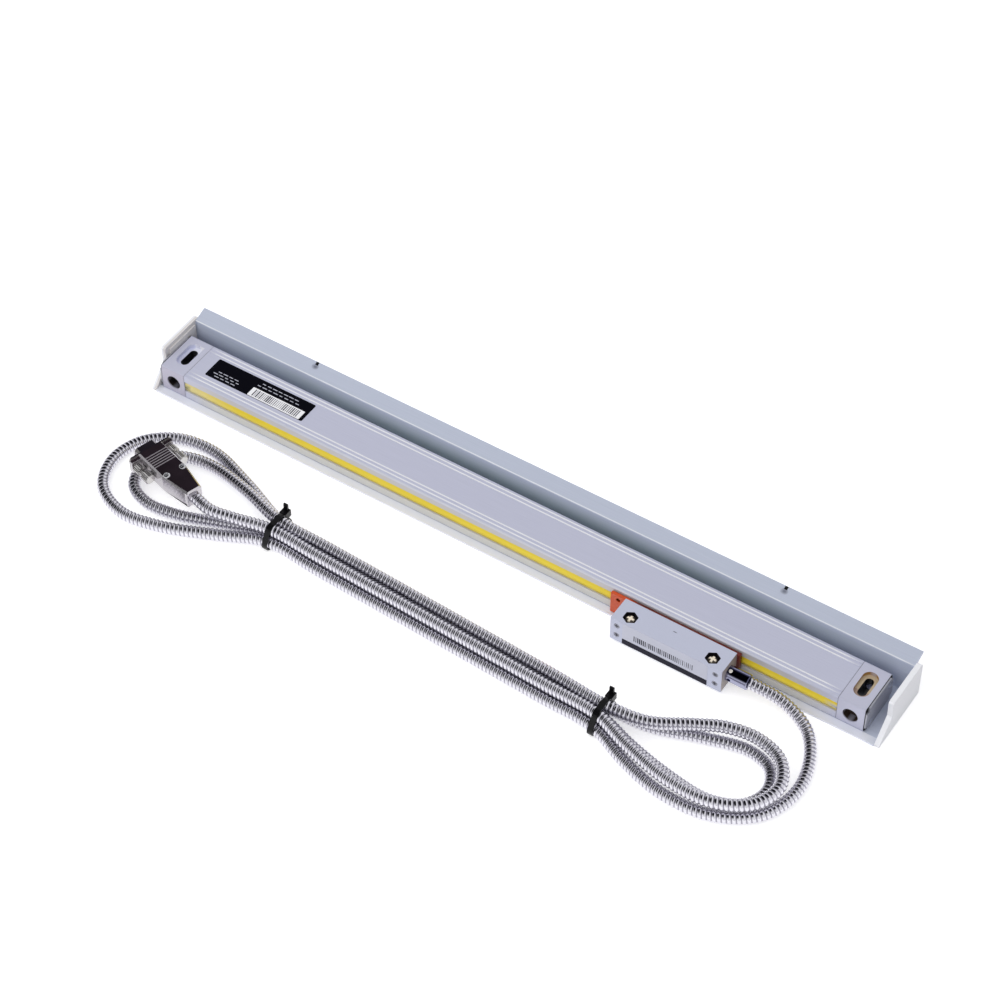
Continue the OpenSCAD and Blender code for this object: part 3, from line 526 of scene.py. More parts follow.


# Extruded and anodised aluminium: satin, cool grey, with faint die lines along its length; painted
# light on the front face above and below the slot, and painted highlights along the raised lines and
# the long front edge
ANODISED = Finish("anodised_aluminium", "anodised_body", "#C8CADE", "#BEC0D4", 0.2, 0.42,
                  0.5, 0.004, Lay.ALONG_X, 0.5, patches=(
                      Patch((0, 0.2, 4.6), (236.5, 0.4, 3.1), "#D6D5D0", soft=0.1),
                      Patch((0, 0.2, 16.6), (236.5, 0.4, 3.4), "#C6C3C4", soft=0.1),
                      Patch((0, 16.25, 21.3), (236.5, 17, 0.25), "#F0F1F6"),
                      Patch((0, 0.3, 20.6), (236.5, 0.6, 0.6), "#D4D6E0", soft=0.4)))
# Milled and anodised block ends: the same grey with an even grain, brass-tinted in the right slot's
# step;
# painted light and a painted glint in the left slot's step, painted dark brown shade in the front
# bores and painted black shade inside
MILLED = Finish("milled_anodised_aluminium", "block_alloy", "#C8C9DC", "#BEBFD3", 0.2, 0.42,
                0.3, 0.003, Lay.EVEN, 0.5, patches=(
                    Patch((245, 17.35, 19.5), (5.4, 10.4, 1.4), "#A67F47", soft=0.1),
                    Patch((245, 20.5, 18.1), (5.4, 7, 0.3), "#C9B79A", soft=0.1),
                    Patch((-245, 17.35, 19.5), (5.4, 10.4, 1.4), "#D6D9EE", soft=0.1),
                    Patch((-243.6, 25.4, 19.6), (4, 2.2, 1.8), "#FFFFFF", soft=0.5),
                    Patch((-245, 0, 10.4), (14, 0.25, 12), "#BBB8C9"),
                    Patch((0, 4, 10.4), (5.6, 3.7, 5.6), "#3A2D26", 245, 0.2),
                    Patch((-245, 4, 10.4), (6.5, 3.4, 6.5), "#121116", soft=0.5),
                    Patch((0, 17.35, 9.7), (3, 7.6, 8.45), "#09080A", 245),
                    Patch((0, 12, 10.4), (3, 6.9, 3), "#0B0A0A", 245)))
# Plain milled plates over the ends: a little darker
PLATE = Finish("punched_anodised_aluminium", "anodised_body", "#ACADB7", "#9C9DA7", 0.4, 0.38,
               0.4, 0.003, Lay.ALONG_Y, 0.5)
# Rolled and anodised channel: bluer than the body, with long rolling lines; painted light on the front
# strip, painted shade down the back wall, a painted highlight along the bend, and darker round the two
# punched holes, black at them
CHANNEL = Finish("rolled_anodised_aluminium", "channel_alloy", "#C9D0E2", "#C0C7DA", 0.2, 0.42,
                 0.6, 0.003, Lay.ALONG_X, 0.5, patches=(
                     Patch((0, -2.5, 0.5), (270, 2.8, 1.2), "#F0F2FB"),
                     Patch((0, 40, 7), (270, 1.8, 19), "#AEBDC3", soft=0.6),
                     Patch((0, 39.6, 26.9), (270, 0.9, 0.35), "#F0F3FA"),
                     Patch((3.75, 46.4, 29.1), (2.7, 2.5, 1.4), "#7E8292", 170, 0.7, True),
                     Patch((3.75, 48.9, 29.6), (1.1, 1.1, 1.6), "#101014", 170)))
# Die-cast and lacquered caps: near white, matt, very slightly uneven, with painted grey shade inside
# the left one
CAP = Finish("powder_coated_cap", "cap_plastic", "#F3F4F9", "#E9EAF1", 0.0, 0.5,
             0.4, 0.012, Lay.EVEN, 0.5, patches=(
                 Patch((-254.6, 20, 14), (3.8, 30, 20), "#D9D6D6", soft=0.1),))
# Cut rubber sheet: black and dull
RUBBER = Finish("nitrile_rubber", "black_rubber", "#121214", "#242426", 0.0, 0.75,
                0.25, 0.02, shine=0.2)
# Grey paper-like joint sheet, cut flush with the body
JOINT = Finish("grey_joint_sheet", "black_rubber", "#8F909E", "#7C7D8A", 0.0, 0.7, 0.25, 0.02)
# Moulded polyurethane lips: strong yellow with a soft shine, paler towards the left end, olive at that
# end and grey at the right end, where they run into the blocks
LIP = LipFinish("moulded_polyurethane", "yellow_rubber", "#F1D93E", "#E3C91E", 0.0, 0.42,
                2.0, 0.02, Lay.ALONG_X, 0.6, pale="#E0D28E", patches=(
                    Patch((-236, 0.3, 11.2), (5, 2, 2.4), "#77734F", soft=0.8),
                    Patch((236, 0.3, 11.2), (9, 2, 2.4), "#B4B4BC", soft=0.9)))
# Float glass: clear, faintly green
GLASS = GlassFinish("float_glass", "clear_glass", "#EAF4F0", "#3A4340", 0.0, 0.02, mottle=0.8)
# Bonding strip: dull grey silicone
BOND = Finish("silicone_strip", "bond_strip", "#5A5C60", "#45474B", 0.0, 0.7, 0.5, 0.02)
# Zinc-plated steel screws, pins and rollers: bright with a fine turned grain
STEEL = Finish("zinc_plated_steel", "steel", "#D6D6D9", "#9A9AA0", 1.0, 0.24,
               0.15, 0.004, Lay.EVEN, 0.45)
# Blued steel: dark, with a dull grey shine
BLUED = Finish("blued_steel", "steel", "#9C9DA8", "#6C6C76", 0.5, 0.35, 0.2, 0.004)
# Nickel-plated set screw: cream-white and satin, set at the ferrule's bright glint and coloured to
# give it, partly a painted highlight
SATIN_NICKEL = Finish("satin_nickel_plate", "steel", "#FBF7EF", "#E9E4DC", 0.1, 0.3, 0.3, 0.003)
# Heads of the mounting screws: dark, with painted cream highlights in their cross recesses
DARK_SCREW_STEEL = Finish("dark_screw_nickel_plate", "steel", "#4E463F", "#2E2925", 0.2, 0.3,
                     0.4, 0.003, patches=(
                         Patch((133, -14, 19), (2.7, 0.85, 3), "#FFF3DF", 28, 0.25),
                         Patch((133, -14, 19), (0.85, 2.7, 3), "#FFF3DF", 28, 0.25)))
# Black anodised carriage: near black, satin
CARRIAGE_ALLOY = Finish("black_anodised_aluminium", "carriage_alloy", "#2C2E33", "#1E2024", 0.6,
                        0.42, 0.3, 0.005)
# Solder-masked board: glossy green with tinned pads
BOARD = BoardFinish("solder_masked_board", "circuit_board", "#1F5A33", "#B9B7A8", 0.0, 0.35,
                    mottle=0.9, coat=0.4)
# Cast and sprayed head: pale grey with a fine orange-peel, painted dark shade inside the pockets and
# painted shade on the right end face
HEAD = Finish("sprayed_die_cast_zinc", "head_alloy", "#C9CDE1", "#C0C4D8", 0.2, 0.4,
              0.35, 0.006, Lay.EVEN, 0.5, 0.1, patches=(
                  Patch((133, -14, 17.83), (4.4, 5, 2.5), "#1F191D", 28),
                  Patch((132.6, -9.2, 20.4), (1.8, 0.35, 0.2), "#4A4B5C", soft=0.5, oval=True),
                  Patch((171, -11.65, 11.15), (0.1, 8.6, 9.2), "#A89D99")))
# Moulded polypropylene bracket: orange with flow marks, painted dark-red shade along the part behind
# the head and a painted near-black shadow at its left end
BRACKET = Finish("moulded_polypropylene", "orange_plastic", "#D2501C", "#BC4212", 0.0, 0.4,
                 3.0, 0.02, Lay.EVEN, 0.6, patches=(
                     Patch((140, -1.8, 10), (44, 3, 12), "#6C2216", soft=0.15),
                     Patch((89.8, -1.8, 15.2), (2.1, 1.1, 1.9), "#1C0806", soft=0.3, oval=True)))
# Chromium plate on the ferrule: mirror-like and smoky, with a painted navy reflection along its upper
# side and a painted white highlight along its upper back edge
CHROME = Finish("chromium_plate", "bright_chrome", "#A6A7BE", "#9394AC", 1.0, 0.1,
                1.5, 0.001, Lay.EVEN, 0.3, patches=(
                    Patch((178, -12.9, 16), (9, 2.6, 2.1), "#3C3D5C", soft=0.3),
                    Patch((178, -7.9, 14.6), (9, 0.9, 1.3), "#FDFDFF", soft=0.3)))
# Galvanised strip of the armour: bright ribs, and painted grey shade in the grooves where the turns
# hook together
ARMOUR = ArmourFinish("galvanised_strip", "armour_steel", "#E6E5EC", "#9C99A6", 1.0, 0.14,
                      0.8, 0.0, Lay.EVEN, 0.25)
# Moulded nylon ties: black with a sharp shine
NYLON = Finish("moulded_nylon", "black_nylon", "#09090B", "#141417", 0.0, 0.3,
               0.6, 0.01, shine=0.25)
# Plated hood: painted dark reflection on top, painted bright reflection on the slopes, painted
# highlights in the grip lines
HOOD = PlatedFinish("black_nickel_plate", "dark_nickel", "#382C35", "#2A2129", 0.8, 0.16,
                    9.0, 0.0, Lay.EVEN, 0.9, side="#D9D5D9")
# Nickel on the mating shell: painted dark reflection where it faces up, painted pale grey reflection
# round the sides
SHELL = PlatedFinish("smoky_nickel_plate", "bright_nickel", "#2E2833", "#221D28", 0.8, 0.16,
                     6.0, 0.0, Lay.EVEN, 0.6, side="#C9C5C2", floor=-1.0)
# Nickel on the thumb screws: bright, slightly warm
NICKEL = Finish("nickel_plate", "bright_nickel", "#D8D6D4", "#A9A6A4", 1.0, 0.16,
                0.7, 0.002, Lay.EVEN, 0.4)
# Moulded insulator, glass-filled: black and matt
INSULATOR = Finish("glass_filled_polyester", "black_plastic", "#17171A", "#222226", 0.0, 0.55,
                   0.3, 0.01)
# Machined and gold-flashed contacts
BRASS = Finish("gold_flashed_brass", "contact_brass", "#D7B25A", "#B8913C", 1.0, 0.2, 0.2, 0.002)
# Printed polyester film: black ground, semi-gloss
INK = Finish("black_polyester_film", "black_plastic", "#04040D", "#0A0A13", 0.0, 0.34,
             0.5, 0.002, shine=0.04)
# Violet-black band printed on the head's label
BAND = Finish("dark_printed_band", "black_plastic", "#0F0D22", "#17152C", 0.0, 0.34,
              0.5, 0.002, shine=0.12)
# Pale polyester film: takes the light of the metal under it
FILM = Finish("silver_polyester_film", "head_alloy", "#CDCFDE", "#C0C2D2", 0.1, 0.34, 0.5, 0.002)
# White polyester film of the scale's panel
WHITE_FILM = Finish("white_polyester_film", "head_alloy", "#F2F2F6", "#E4E4EA", 0.0, 0.4,
                    0.5, 0.002)
# Dark print of the plain bars, and pale print of the plain dashes
PRINT = Finish("dark_printed_bars", "black_plastic", "#2C2D3C", "#3A3B4A", 0.0, 0.4,
               0.5, 0.001, shine=0.2)
PALE_PRINT = Finish("pale_printed_dashes", "head_alloy", "#B9BBC8", "#A6A8B6", 0.0, 0.5, 0.5, 0.001)


# ---- pieces ----


def report(piece: Object, body: str) -> None:
    """Log a finished piece."""
    LOG.info("%s: %d faces, rides on %s", piece.name, len(piece.data.polygons), body)


def line_object(name: str, points: Sequence[Point], joined: bool = True) -> Object:
    """Make a mesh of points, for a node tree to grow a piece on.

    Args:
        name: Name of the object.
        points: Places of the points.
        joined: Whether edges join each point to the next.

    Returns:
        The object, linked to the scene.
    """
    mesh = bpy.data.meshes.new(name)
    edges = [(i, i + 1) for i in range(len(points) - 1)] if joined else []
    mesh.from_pydata(points, edges, [])
    made = bpy.data.objects.new(name, mesh)
    bpy.context.scene.collection.objects.link(made)
    return made


@dataclass(frozen=True)
class Piece:
    """A piece to make: what it's called, what it's finished with and what it rides on.

    Attributes:
        name: Name of the piece.
        finish: Its finish.
        body: Body that it rides on.
        replaced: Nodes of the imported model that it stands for.
    """

    name: str
    finish: Finish
    body: str
    replaced: Sequence[str] = ()

    def settle(self, mesh: bpy.types.Mesh) -> Object:
        """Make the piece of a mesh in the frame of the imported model, and set it on its body.

        Args:
            mesh: The mesh.

        Returns:
            The finished piece.
        """
        mesh.name = self.name
        if not mesh.materials:
            mesh.materials.append(self.finish.material())
        piece = bpy.data.objects.new(self.name, mesh)
        bpy.context.scene.collection.objects.link(piece)
        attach(piece, self.body)
        if self.replaced:
            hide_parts(*self.replaced)
        report(piece, self.body)
        return piece

    def grow(self, source: Object, tree: bpy.types.GeometryNodeTree, values: dict) -> Object:
        """Run a node tree on an object and keep the result as a plain mesh.

        Args:
            source: Object that the tree starts from. It is used up.
            tree: Geometry node tree.
            values: The tree's inputs, by name.

        Returns:
            The finished piece.
        """
        sockets = {s.name: s.identifier for s in tree.interface.items_tree if s.in_out == "INPUT"}
        modifier = source.modifiers.new("grow", "NODES")
        modifier.node_group = tree
        for key, value in {**values, "Material": self.finish.material()}.items():
            modifier[sockets[key]] = value
        shown = source.evaluated_get(bpy.context.evaluated_depsgraph_get())
        mesh = bpy.data.meshes.new_from_object(shown)
        source.modifiers.remove(modifier)
        bpy.data.objects.remove(source)
        return self.settle(mesh)

    def prism(self, first: Sequence[Point], second: Sequence[Point]) -> Object:
        """Make the piece of two outlines that match, with walls between them.

        Args:
            first: Outline of one end.
            second: Outline of the other.

        Returns:
            The finished piece.
        """
        made = bmesh.new()
        one, two = ([made.verts.new(p) for p in outline] for outline in (first, second))
        made.faces.new(one)
        made.faces.new(reversed(two))
        for i in range(len(one)):
            after = (i + 1) % len(one)
            made.faces.new([one[after], one[i], two[i], two[after]])
        bmesh.ops.recalc_face_normals(made, faces=made.faces)
        mesh = bpy.data.meshes.new(self.name)
        made.to_mesh(mesh)
        made.free()
        return self.settle(mesh)

    def film(self, place: Callable[[float, float, float], Point], size: tuple[float, float],
             thickness: float, radius: float) -> Object:
        """Make the piece a flat film with round corners.

        Args:
            place: Turns a point of the film (along, across, out) into a point of the frame.
            size: Length and width.
            thickness: Thickness of the film.
            radius: Radius of its corners.

        Returns:
            The finished piece.
        """
        steps = 6
        far, wide = size[0] - radius, size[1] - radius
        rim = []
        for i, (u, v) in enumerate(((far, wide), (radius, wide), (radius, radius), (far, radius))):
            for j in range(steps + 1):
                a = math.pi / 2 * (i + j / steps)
                rim.append((u + radius * math.cos(a), v + radius * math.sin(a)))
        return self.prism([place(u, v, thickness) for u, v in rim], [place(u, v, 0) for u, v in rim])


@dataclass(frozen=True)
class MarkRow:
    """Row of plain printed marks of uneven width along X.

    Attributes:
        count: Number of marks.
        step: Distance from mark to mark.
        size: Size of the mean mark.
        spread: Width of the widest mark, as a share of the mean one.
        seed: Seed of the uneven widths.
    """

    count: int
    step: float
    size: Point
    spread: float
    seed: int

    def lay(self, piece: Piece, centre: Vector) -> Object:
        """Print the row.

        Args:
            piece: The piece to make of it.
            centre: Middle of the row.

        Returns:
            The finished piece.
        """
        points = [tuple(centre + Vector(((i - (self.count - 1) / 2) * self.step, 0, 0)))
                  for i in range(self.count)]
        return piece.grow(line_object("row", points, False), bars_tree(), {
            "Thin": 2 - self.spread, "Thick": self.spread, "Along": (1.0, 0.0, 0.0),
            "Size": self.size, "Seed": self.seed,
        })


@dataclass(frozen=True)
class ScrewHead:
    """Turned head of a screw, with a driven slot or cross. All sizes are in millimetres.

    Attributes:
        radius: Radius of the head.
        height: Height of the head.
        roundness: Power of the outline: round at a low one, flat-topped at a high one.
        recess: Length, width and depth of the slot.
        seed: Seed of the turn that each screw was left at.
        crossed: Whether a second slot crosses the first.
    """

    radius: float
    height: float
    roundness: float
    recess: Point
    seed: int
    crossed: bool = True

    def lay(self, piece: Piece, points: Sequence[Point], axis: Point = (0.0, 0.0, 1.0)) -> Object:
        """Set a head on each point.

        Args:
            piece: The piece to make of them.
            points: Feet of the heads.
            axis: Direction that they face.

        Returns:
            The finished piece.
        """
        length, width, depth = (v * MM for v in self.recess)
        return piece.grow(line_object("spots", points, False), screw_tree(), {
            "Radius": self.radius * MM, "Height": self.height * MM, "Roundness": self.roundness,
            "Recess Length": length, "Recess Width": width, "Recess Depth": depth,
            "Second Slot": float(self.crossed), "Axis": axis, "Seed": self.seed,
        })


class SubAssembly:
    """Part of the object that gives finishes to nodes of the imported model.

    Attributes:
        dressing: Names of the nodes, by their finish.
    """

    dressing: dict[Finish, Sequence[str]] = {}

    def dress(self) -> None:
        """Give the nodes their finishes, through their material slots."""
        for finish, names in self.dressing.items():
            for name in names:
                node = frame["nodes"][name]
                if not node.material_slots:
                    node.data.materials.append(None)
                for slot in node.material_slots:
                    slot.material = finish.material()
                report(node, node["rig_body"])


# ---- node trees of the pieces ----


class Tree(Nodes):
    """A geometry node tree with named inputs, which ends in realised, finished geometry."""

    def __init__(self, name: str, **inputs: str) -> None:
        """Start the tree with its inputs.

        Args:
            name: Name of the tree.
            **inputs: Socket types of its inputs, by name with _ for a space.
        """
        super().__init__(bpy.data.node_groups.new(name, "GeometryNodeTree"))
        for key, kind in {"Geometry": "Geometry", **inputs, "Material": "Material"}.items():
            self.tree.interface.new_socket(key.replace("_", " "), in_out="INPUT",
                                           socket_type=f"NodeSocket{kind}")
        self.tree.interface.new_socket("Geometry", in_out="OUTPUT",
                                       socket_type="NodeSocketGeometry")
        self.inputs = self.node("NodeGroupInput")

    def upright(self, height: Socket) -> Socket:
        """Return the vector that stands on the ground plane with a height."""
        return self.node("ShaderNodeCombineXYZ", {"Z": height})[0]

    def end(self, geometry: Socket, smooth: bool = False) -> bpy.types.GeometryNodeTree:
        """Realise the geometry, give it its material and close the tree.

        Args:
            geometry: Socket with the geometry.
            smooth: Whether its faces are shaded smooth.

        Returns:
            The finished tree.
        """
        real = self.node("GeometryNodeRealizeInstances", {"Geometry": geometry})[0]
        shaded = self.node("GeometryNodeSetShadeSmooth", {"Geometry": real, "Shade Smooth": smooth})
        dressed = self.node("GeometryNodeSetMaterial", {"Geometry": shaded[0],
                                                        "Material": self.inputs["Material"]})
        self.node("NodeGroupOutput", {"Geometry": dressed[0]})
        return self.tree


@cache
def armour_tree() -> bpy.types.GeometryNodeTree:
    """Build the tree of a strip-wound hose round a line.

    Its surface is a grid of rings and sides. Each side lies a little further along the line than
    the one before it, so that the ribs wind round as a real strip does.

    Returns:
        The finished tree.
    """
    t = Tree("armour", Radius="Float", Groove="Float", Pitch="Float", Length="Float",
             Sides="Int", Rings="Int", Sharpness="Float")
    put, weld = t.inputs, 0.005 * MM
    row = t.maths("ADD", put["Sides"], 1.0)
    turns = t.maths("ADD", t.maths("CEIL", t.maths("DIVIDE", put["Length"], put["Pitch"])), 2.0)
    rows = t.maths("ADD", t.maths("MULTIPLY", turns, put["Rings"]), 1.0)
    grid = t.node("GeometryNodeMeshGrid", {"Vertices X": rows, "Vertices Y": row})["Mesh"]
    index = t.node("GeometryNodeInputIndex")[0]
    ring = t.maths("FLOOR", t.maths("DIVIDE", t.maths("ADD", index, 0.5), row))
    side = t.maths("SUBTRACT", index, t.maths("MULTIPLY", ring, row))
    share = t.maths("DIVIDE", side, put["Sides"])
    turn = t.maths("SUBTRACT", t.maths("DIVIDE", ring, put["Rings"]), 1.0)
    run = t.maths("MULTIPLY", t.maths("ADD", turn, share), put["Pitch"])
    wave = t.maths("ABSOLUTE", t.maths("COSINE", t.maths("MULTIPLY", turn, math.pi)))
    groove = t.maths("POWER", wave, put["Sharpness"])
    skin = t.maths("SUBTRACT", put["Radius"], t.maths("MULTIPLY", groove, put["Groove"]))
    inside = t.maths("MULTIPLY", t.maths("GREATER_THAN", run, 0.0),
                     t.maths("LESS_THAN", run, put["Length"]))
    radius = t.maths("MULTIPLY", skin, inside)
    curve = t.node("GeometryNodeMeshToCurve", {"Mesh": put["Geometry"]})[0]
    near = t.node("GeometryNodeSampleCurve", {"Curves": curve, "Length": run}, mode="LENGTH",
                  use_all_curves=True)
    across = t.vector("CROSS_PRODUCT", near["Tangent"], near["Normal"])
    angle = t.maths("MULTIPLY", share, 2 * math.pi)
    one = t.vector("SCALE", near["Normal"],
                   Scale=t.maths("MULTIPLY", t.maths("COSINE", angle), radius))
    two = t.vector("SCALE", across, Scale=t.maths("MULTIPLY", t.maths("SINE", angle), radius))
    place = t.vector("ADD", near["Position"], t.vector("ADD", one, two))
    kept = t.node("GeometryNodeStoreNamedAttribute", {"Geometry": grid, "Name": "groove",
                                                      "Value": groove},
                  data_type="FLOAT", domain="POINT")[0]
    bent = t.node("GeometryNodeSetPosition", {"Geometry": kept, "Position": place})[0]
    closed = t.node("GeometryNodeMergeByDistance", {"Geometry": bent, "Distance": weld})[0]
    return t.end(closed, smooth=True)


@cache
def screw_tree() -> bpy.types.GeometryNodeTree:
    """Build the tree of a screw head with a driven recess, set on each point.

    The head is turned: its outline is a superellipse, round at a low roundness and flat-topped
    at a high one.

    Returns:
        The finished tree.
    """
    t = Tree("screw_head", Radius="Float", Height="Float", Roundness="Float", Recess_Length="Float",
             Recess_Width="Float", Recess_Depth="Float", Second_Slot="Float", Axis="Vector",
             Seed="Int")
    put = t.inputs
    rings, sides, weld = 12, 32, 0.004 * MM
    index = t.node("GeometryNodeInputIndex")[0]
    angle = t.maths("MULTIPLY", index, math.pi / 2 / (rings - 1))
    power = t.maths("DIVIDE", 2.0, put["Roundness"])
    high = t.maths("MULTIPLY", t.maths("POWER", t.maths("SINE", angle), power), put["Height"])
    wide = t.maths("MULTIPLY", t.maths("POWER", t.maths("MAXIMUM", t.maths("COSINE", angle), 0.0),
                                       power), put["Radius"])
    line = t.node("GeometryNodeMeshLine", {"Count": rings})[0]
    stem = t.node("GeometryNodeSetPosition", {"Geometry": line, "Position": t.upright(high)})[0]
    curve = t.node("GeometryNodeMeshToCurve", {"Mesh": stem})[0]
    circle = t.node("GeometryNodeCurvePrimitiveCircle", {"Resolution": sides, "Radius": 1.0})[0]
    turned = t.node("GeometryNodeCurveToMesh", {"Curve": curve, "Profile Curve": circle,
                                                "Scale": wide, "Fill Caps": True})[0]
    head = t.node("GeometryNodeMergeByDistance", {"Geometry": turned, "Distance": weld})[0]
    cut = add(t.tree, "GeometryNodeMeshBoolean", {"Mesh 1": head}, operation="DIFFERENCE",
              solver="EXACT")
    width = put["Recess Width"]
    second = t.maths("MULTIPLY", put["Recess Length"], put["Second Slot"])
    for length, letters in ((put["Recess Length"], "XY"), (second, "YX")):
        size = t.node("ShaderNodeCombineXYZ", {
            letters[0]: t.maths("MAXIMUM", length, width), letters[1]: width,
            "Z": t.maths("MULTIPLY", put["Recess Depth"], 2.0),
        })[0]
        box = t.node("GeometryNodeMeshCube", {"Size": size})[0]
        slot = t.node("GeometryNodeTransform", {"Geometry": box,
                                                "Translation": t.upright(put["Height"])})[0]
        t.tree.links.new(slot, cut.inputs["Mesh 2"])
    spin = t.node("FunctionNodeRandomValue", {"Max_001": math.pi, "Seed": put["Seed"]},
                  data_type="FLOAT")[1]
    turn = t.node("FunctionNodeEulerToRotation", {"Euler": t.upright(spin)})[0]
    facing = t.node("FunctionNodeAlignRotationToVector", {"Rotation": turn, "Vector": put["Axis"]},
                    axis="Z")[0]
    return t.end(t.node("GeometryNodeInstanceOnPoints", {
        "Points": put["Geometry"], "Instance": cut.outputs["Mesh"], "Rotation": facing,
    })[0])


@cache
def knob_tree() -> bpy.types.GeometryNodeTree:
    """Build the tree of a fluted thumb knob along a line whose points carry their radius.

    Returns:
        The finished tree.
    """
    t = Tree("fluted_knob", Flutes="Int", Depth="Float")
    put = t.inputs
    radius = t.node("GeometryNodeInputNamedAttribute", {"Name": "radius"}, data_type="FLOAT")[0]
    curve = t.node("GeometryNodeMeshToCurve", {"Mesh": put["Geometry"]})[0]
    star = t.node("GeometryNodeCurveStar", {
        "Points": put["Flutes"], "Inner Radius": t.maths("SUBTRACT", 1.0, put["Depth"]),
        "Outer Radius": 1.0,
    })[0]
    soft = t.node("GeometryNodeFilletCurve", {
        "Curve": star, "Count": 2, "Radius": t.maths("MULTIPLY", put["Depth"], 0.4),
    }, mode="POLY")[0]
    return t.end(t.node("GeometryNodeCurveToMesh", {
        "Curve": curve, "Profile Curve": soft, "Scale": radius, "Fill Caps": True,
    })[0])


@cache
def bars_tree() -> bpy.types.GeometryNodeTree:
    """Build the tree of a row of plain bars of uneven width.

    Returns:
        The finished tree.
    """
    t = Tree("plain_bars", Thin="Float", Thick="Float", Along="Vector", Size="Vector", Seed="Int")
    put = t.inputs
    bar = t.node("GeometryNodeMeshCube", {"Size": put["Size"]})[0]
    width = t.node("FunctionNodeRandomValue", {"Min_001": put["Thin"], "Max_001": put["Thick"],
                                               "Seed": put["Seed"]}, data_type="FLOAT")[1]
    grown = t.vector("SCALE", put["Along"], Scale=t.maths("SUBTRACT", width, 1.0))
    return t.end(t.node("GeometryNodeInstanceOnPoints", {
        "Points": put["Geometry"], "Instance": bar,
        "Scale": t.vector("ADD", (1.0, 1.0, 1.0), grown),
    })[0])


# ---- studio ----


@dataclass
class Studio:
    """Camera, floor, backdrop light and lamps.

    Attributes:
        eye: Place of the camera.
        target: Point that it looks at.
        focal: Focal length in millimetres.
        sensor: Width of the sensor in millimetres.
        floor: Half the side of the floor.
        floor_tones: Colours that the floor's paper varies between.
        lift: How much brighter than lit the floor looks, to the camera and in metal.
        sky: Even light from all round.
        walls: What metal reflects from the sides of the room.
        ceiling: What metal reflects from its dark part overhead.
        overhead: Direction of the middle of that part.
        rim: Cosines of the angles from there at which it ends and is full.
        lamps: Name, place, side and power in watts of each soft square lamp.
    """

    eye: Point = (641.5 * MM, -972.0 * MM, 1330.4 * MM)
    target: Point = (-20.6 * MM, 37.4 * MM, 0.0)
    focal: float = 104.4
    sensor: float = 36.0
    floor: float = 3.0
    floor_tones: tuple[str, str] = ("#E6E6E8", "#E9E9EB")
    lift: float = 0.5
    sky: str = "#CECECE"
    walls: str = "#F0F0F2"
    ceiling: str = "#15151B"
    overhead: Point = (-0.37, -0.23, 0.9)
    rim: tuple[float, float] = (0.52, 0.82)
    lamps: Sequence[tuple[str, Point, float, float]] = (
        ("softbox_top", (-0.3, -0.6, 1.5), 1.6, 9.2),
        ("softbox_left", (-1.4, -0.3, 1.0), 1.0, 2.4),
        ("softbox_front", (-0.3, -1.3, 0.8), 0.9, 3.2),
    )

    def put(self, name: str, data: bpy.types.ID, place: Point, target: Point) -> Object:
        """Put a camera or a lamp in the scene.

        Args:
            name: Name of the object.
            data: The camera or lamp.
            place: Where it stands.
            target: Point that it faces.

        Returns:
            The object.
        """
        made = bpy.data.objects.new(name, data)
        made.location = place
        aim = Vector(target) - Vector(place)
        made.rotation_euler = aim.to_track_quat("-Z", "Y").to_euler()
        bpy.context.scene.collection.objects.link(made)
        return made

    def camera(self) -> None:
        """Make the camera and give it to the scene."""
        data = bpy.data.cameras.new("camera")
        data.lens = self.focal
        data.sensor_width = self.sensor
        data.clip_end = 20.0
        bpy.context.scene.camera = self.put("camera", data, self.eye, self.target)

    def ground(self) -> None:
        """Make the pale floor, which looks white and keeps the object's shadow."""
        half = self.floor
        mesh = bpy.data.meshes.new("floor")
        mesh.from_pydata([(-half, -half, 0), (half, -half, 0), (half, half, 0), (-half, half, 0)],
                         [], [(0, 1, 2, 3)])
        made = bpy.data.objects.new("floor", mesh)
        bpy.context.scene.collection.objects.link(made)
        paper = bpy.data.materials.new("backdrop_paper")
        paper.use_nodes = True
        t = Nodes(paper.node_tree)
        grain = t.node("ShaderNodeTexNoise", {"Scale": 40.0, "Detail": 2.0})["Fac"]
        matt = t.node("ShaderNodeBsdfDiffuse", {"Color": t.mix(grain, *self.floor_tones)})[0]
        path = t.node("ShaderNodeLightPath")
        seen = t.maths("MAXIMUM", path["Is Camera Ray"], path["Is Glossy Ray"])
        glow = t.node("ShaderNodeEmission", {"Strength": t.maths("MULTIPLY", seen, self.lift)})[0]
        both = t.node("ShaderNodeAddShader", {0: matt, 1: glow})[0]
        t.node("ShaderNodeOutputMaterial", {"Surface": both})
        mesh.materials.append(paper)

    def surroundings(self) -> None:
        """Make the even light, and the pale walls and dark ceiling that metal reflects."""
        world = bpy.data.worlds.new("studio")
        bpy.context.scene.world = world
        world.use_nodes = True
        t = Nodes(world.node_tree)
        near = t.vector("DOT_PRODUCT", t.where("Generated"), self.overhead)
        dark = t.spread(near, *self.rim, interpolation_type="SMOOTHSTEP")
        path = t.node("ShaderNodeLightPath")
        mirrored = t.mix(path["Is Glossy Ray"], self.sky, t.mix(dark, self.walls, self.ceiling))
        shown = t.mix(path["Is Camera Ray"], mirrored, "#FFFFFF")
        light = t.node("ShaderNodeBackground", {"Color": shown})[0]
        t.node("ShaderNodeOutputWorld", {"Surface": light})

    def build(self) -> None:
        """Make the whole studio, with lamps that metal doesn't reflect."""
        bpy.context.scene.view_settings.view_transform = "Standard"
        self.camera()
        self.ground()
        self.surroundings()
        for name, place, side, power in self.lamps:
            data = bpy.data.lights.new(name, "AREA")
            data.shape = "SQUARE"
            data.size = side
            data.energy = power
            self.put(name, data, place, (0.0, 0.0, 0.0)).visible_glossy = False


# ---- lead ----


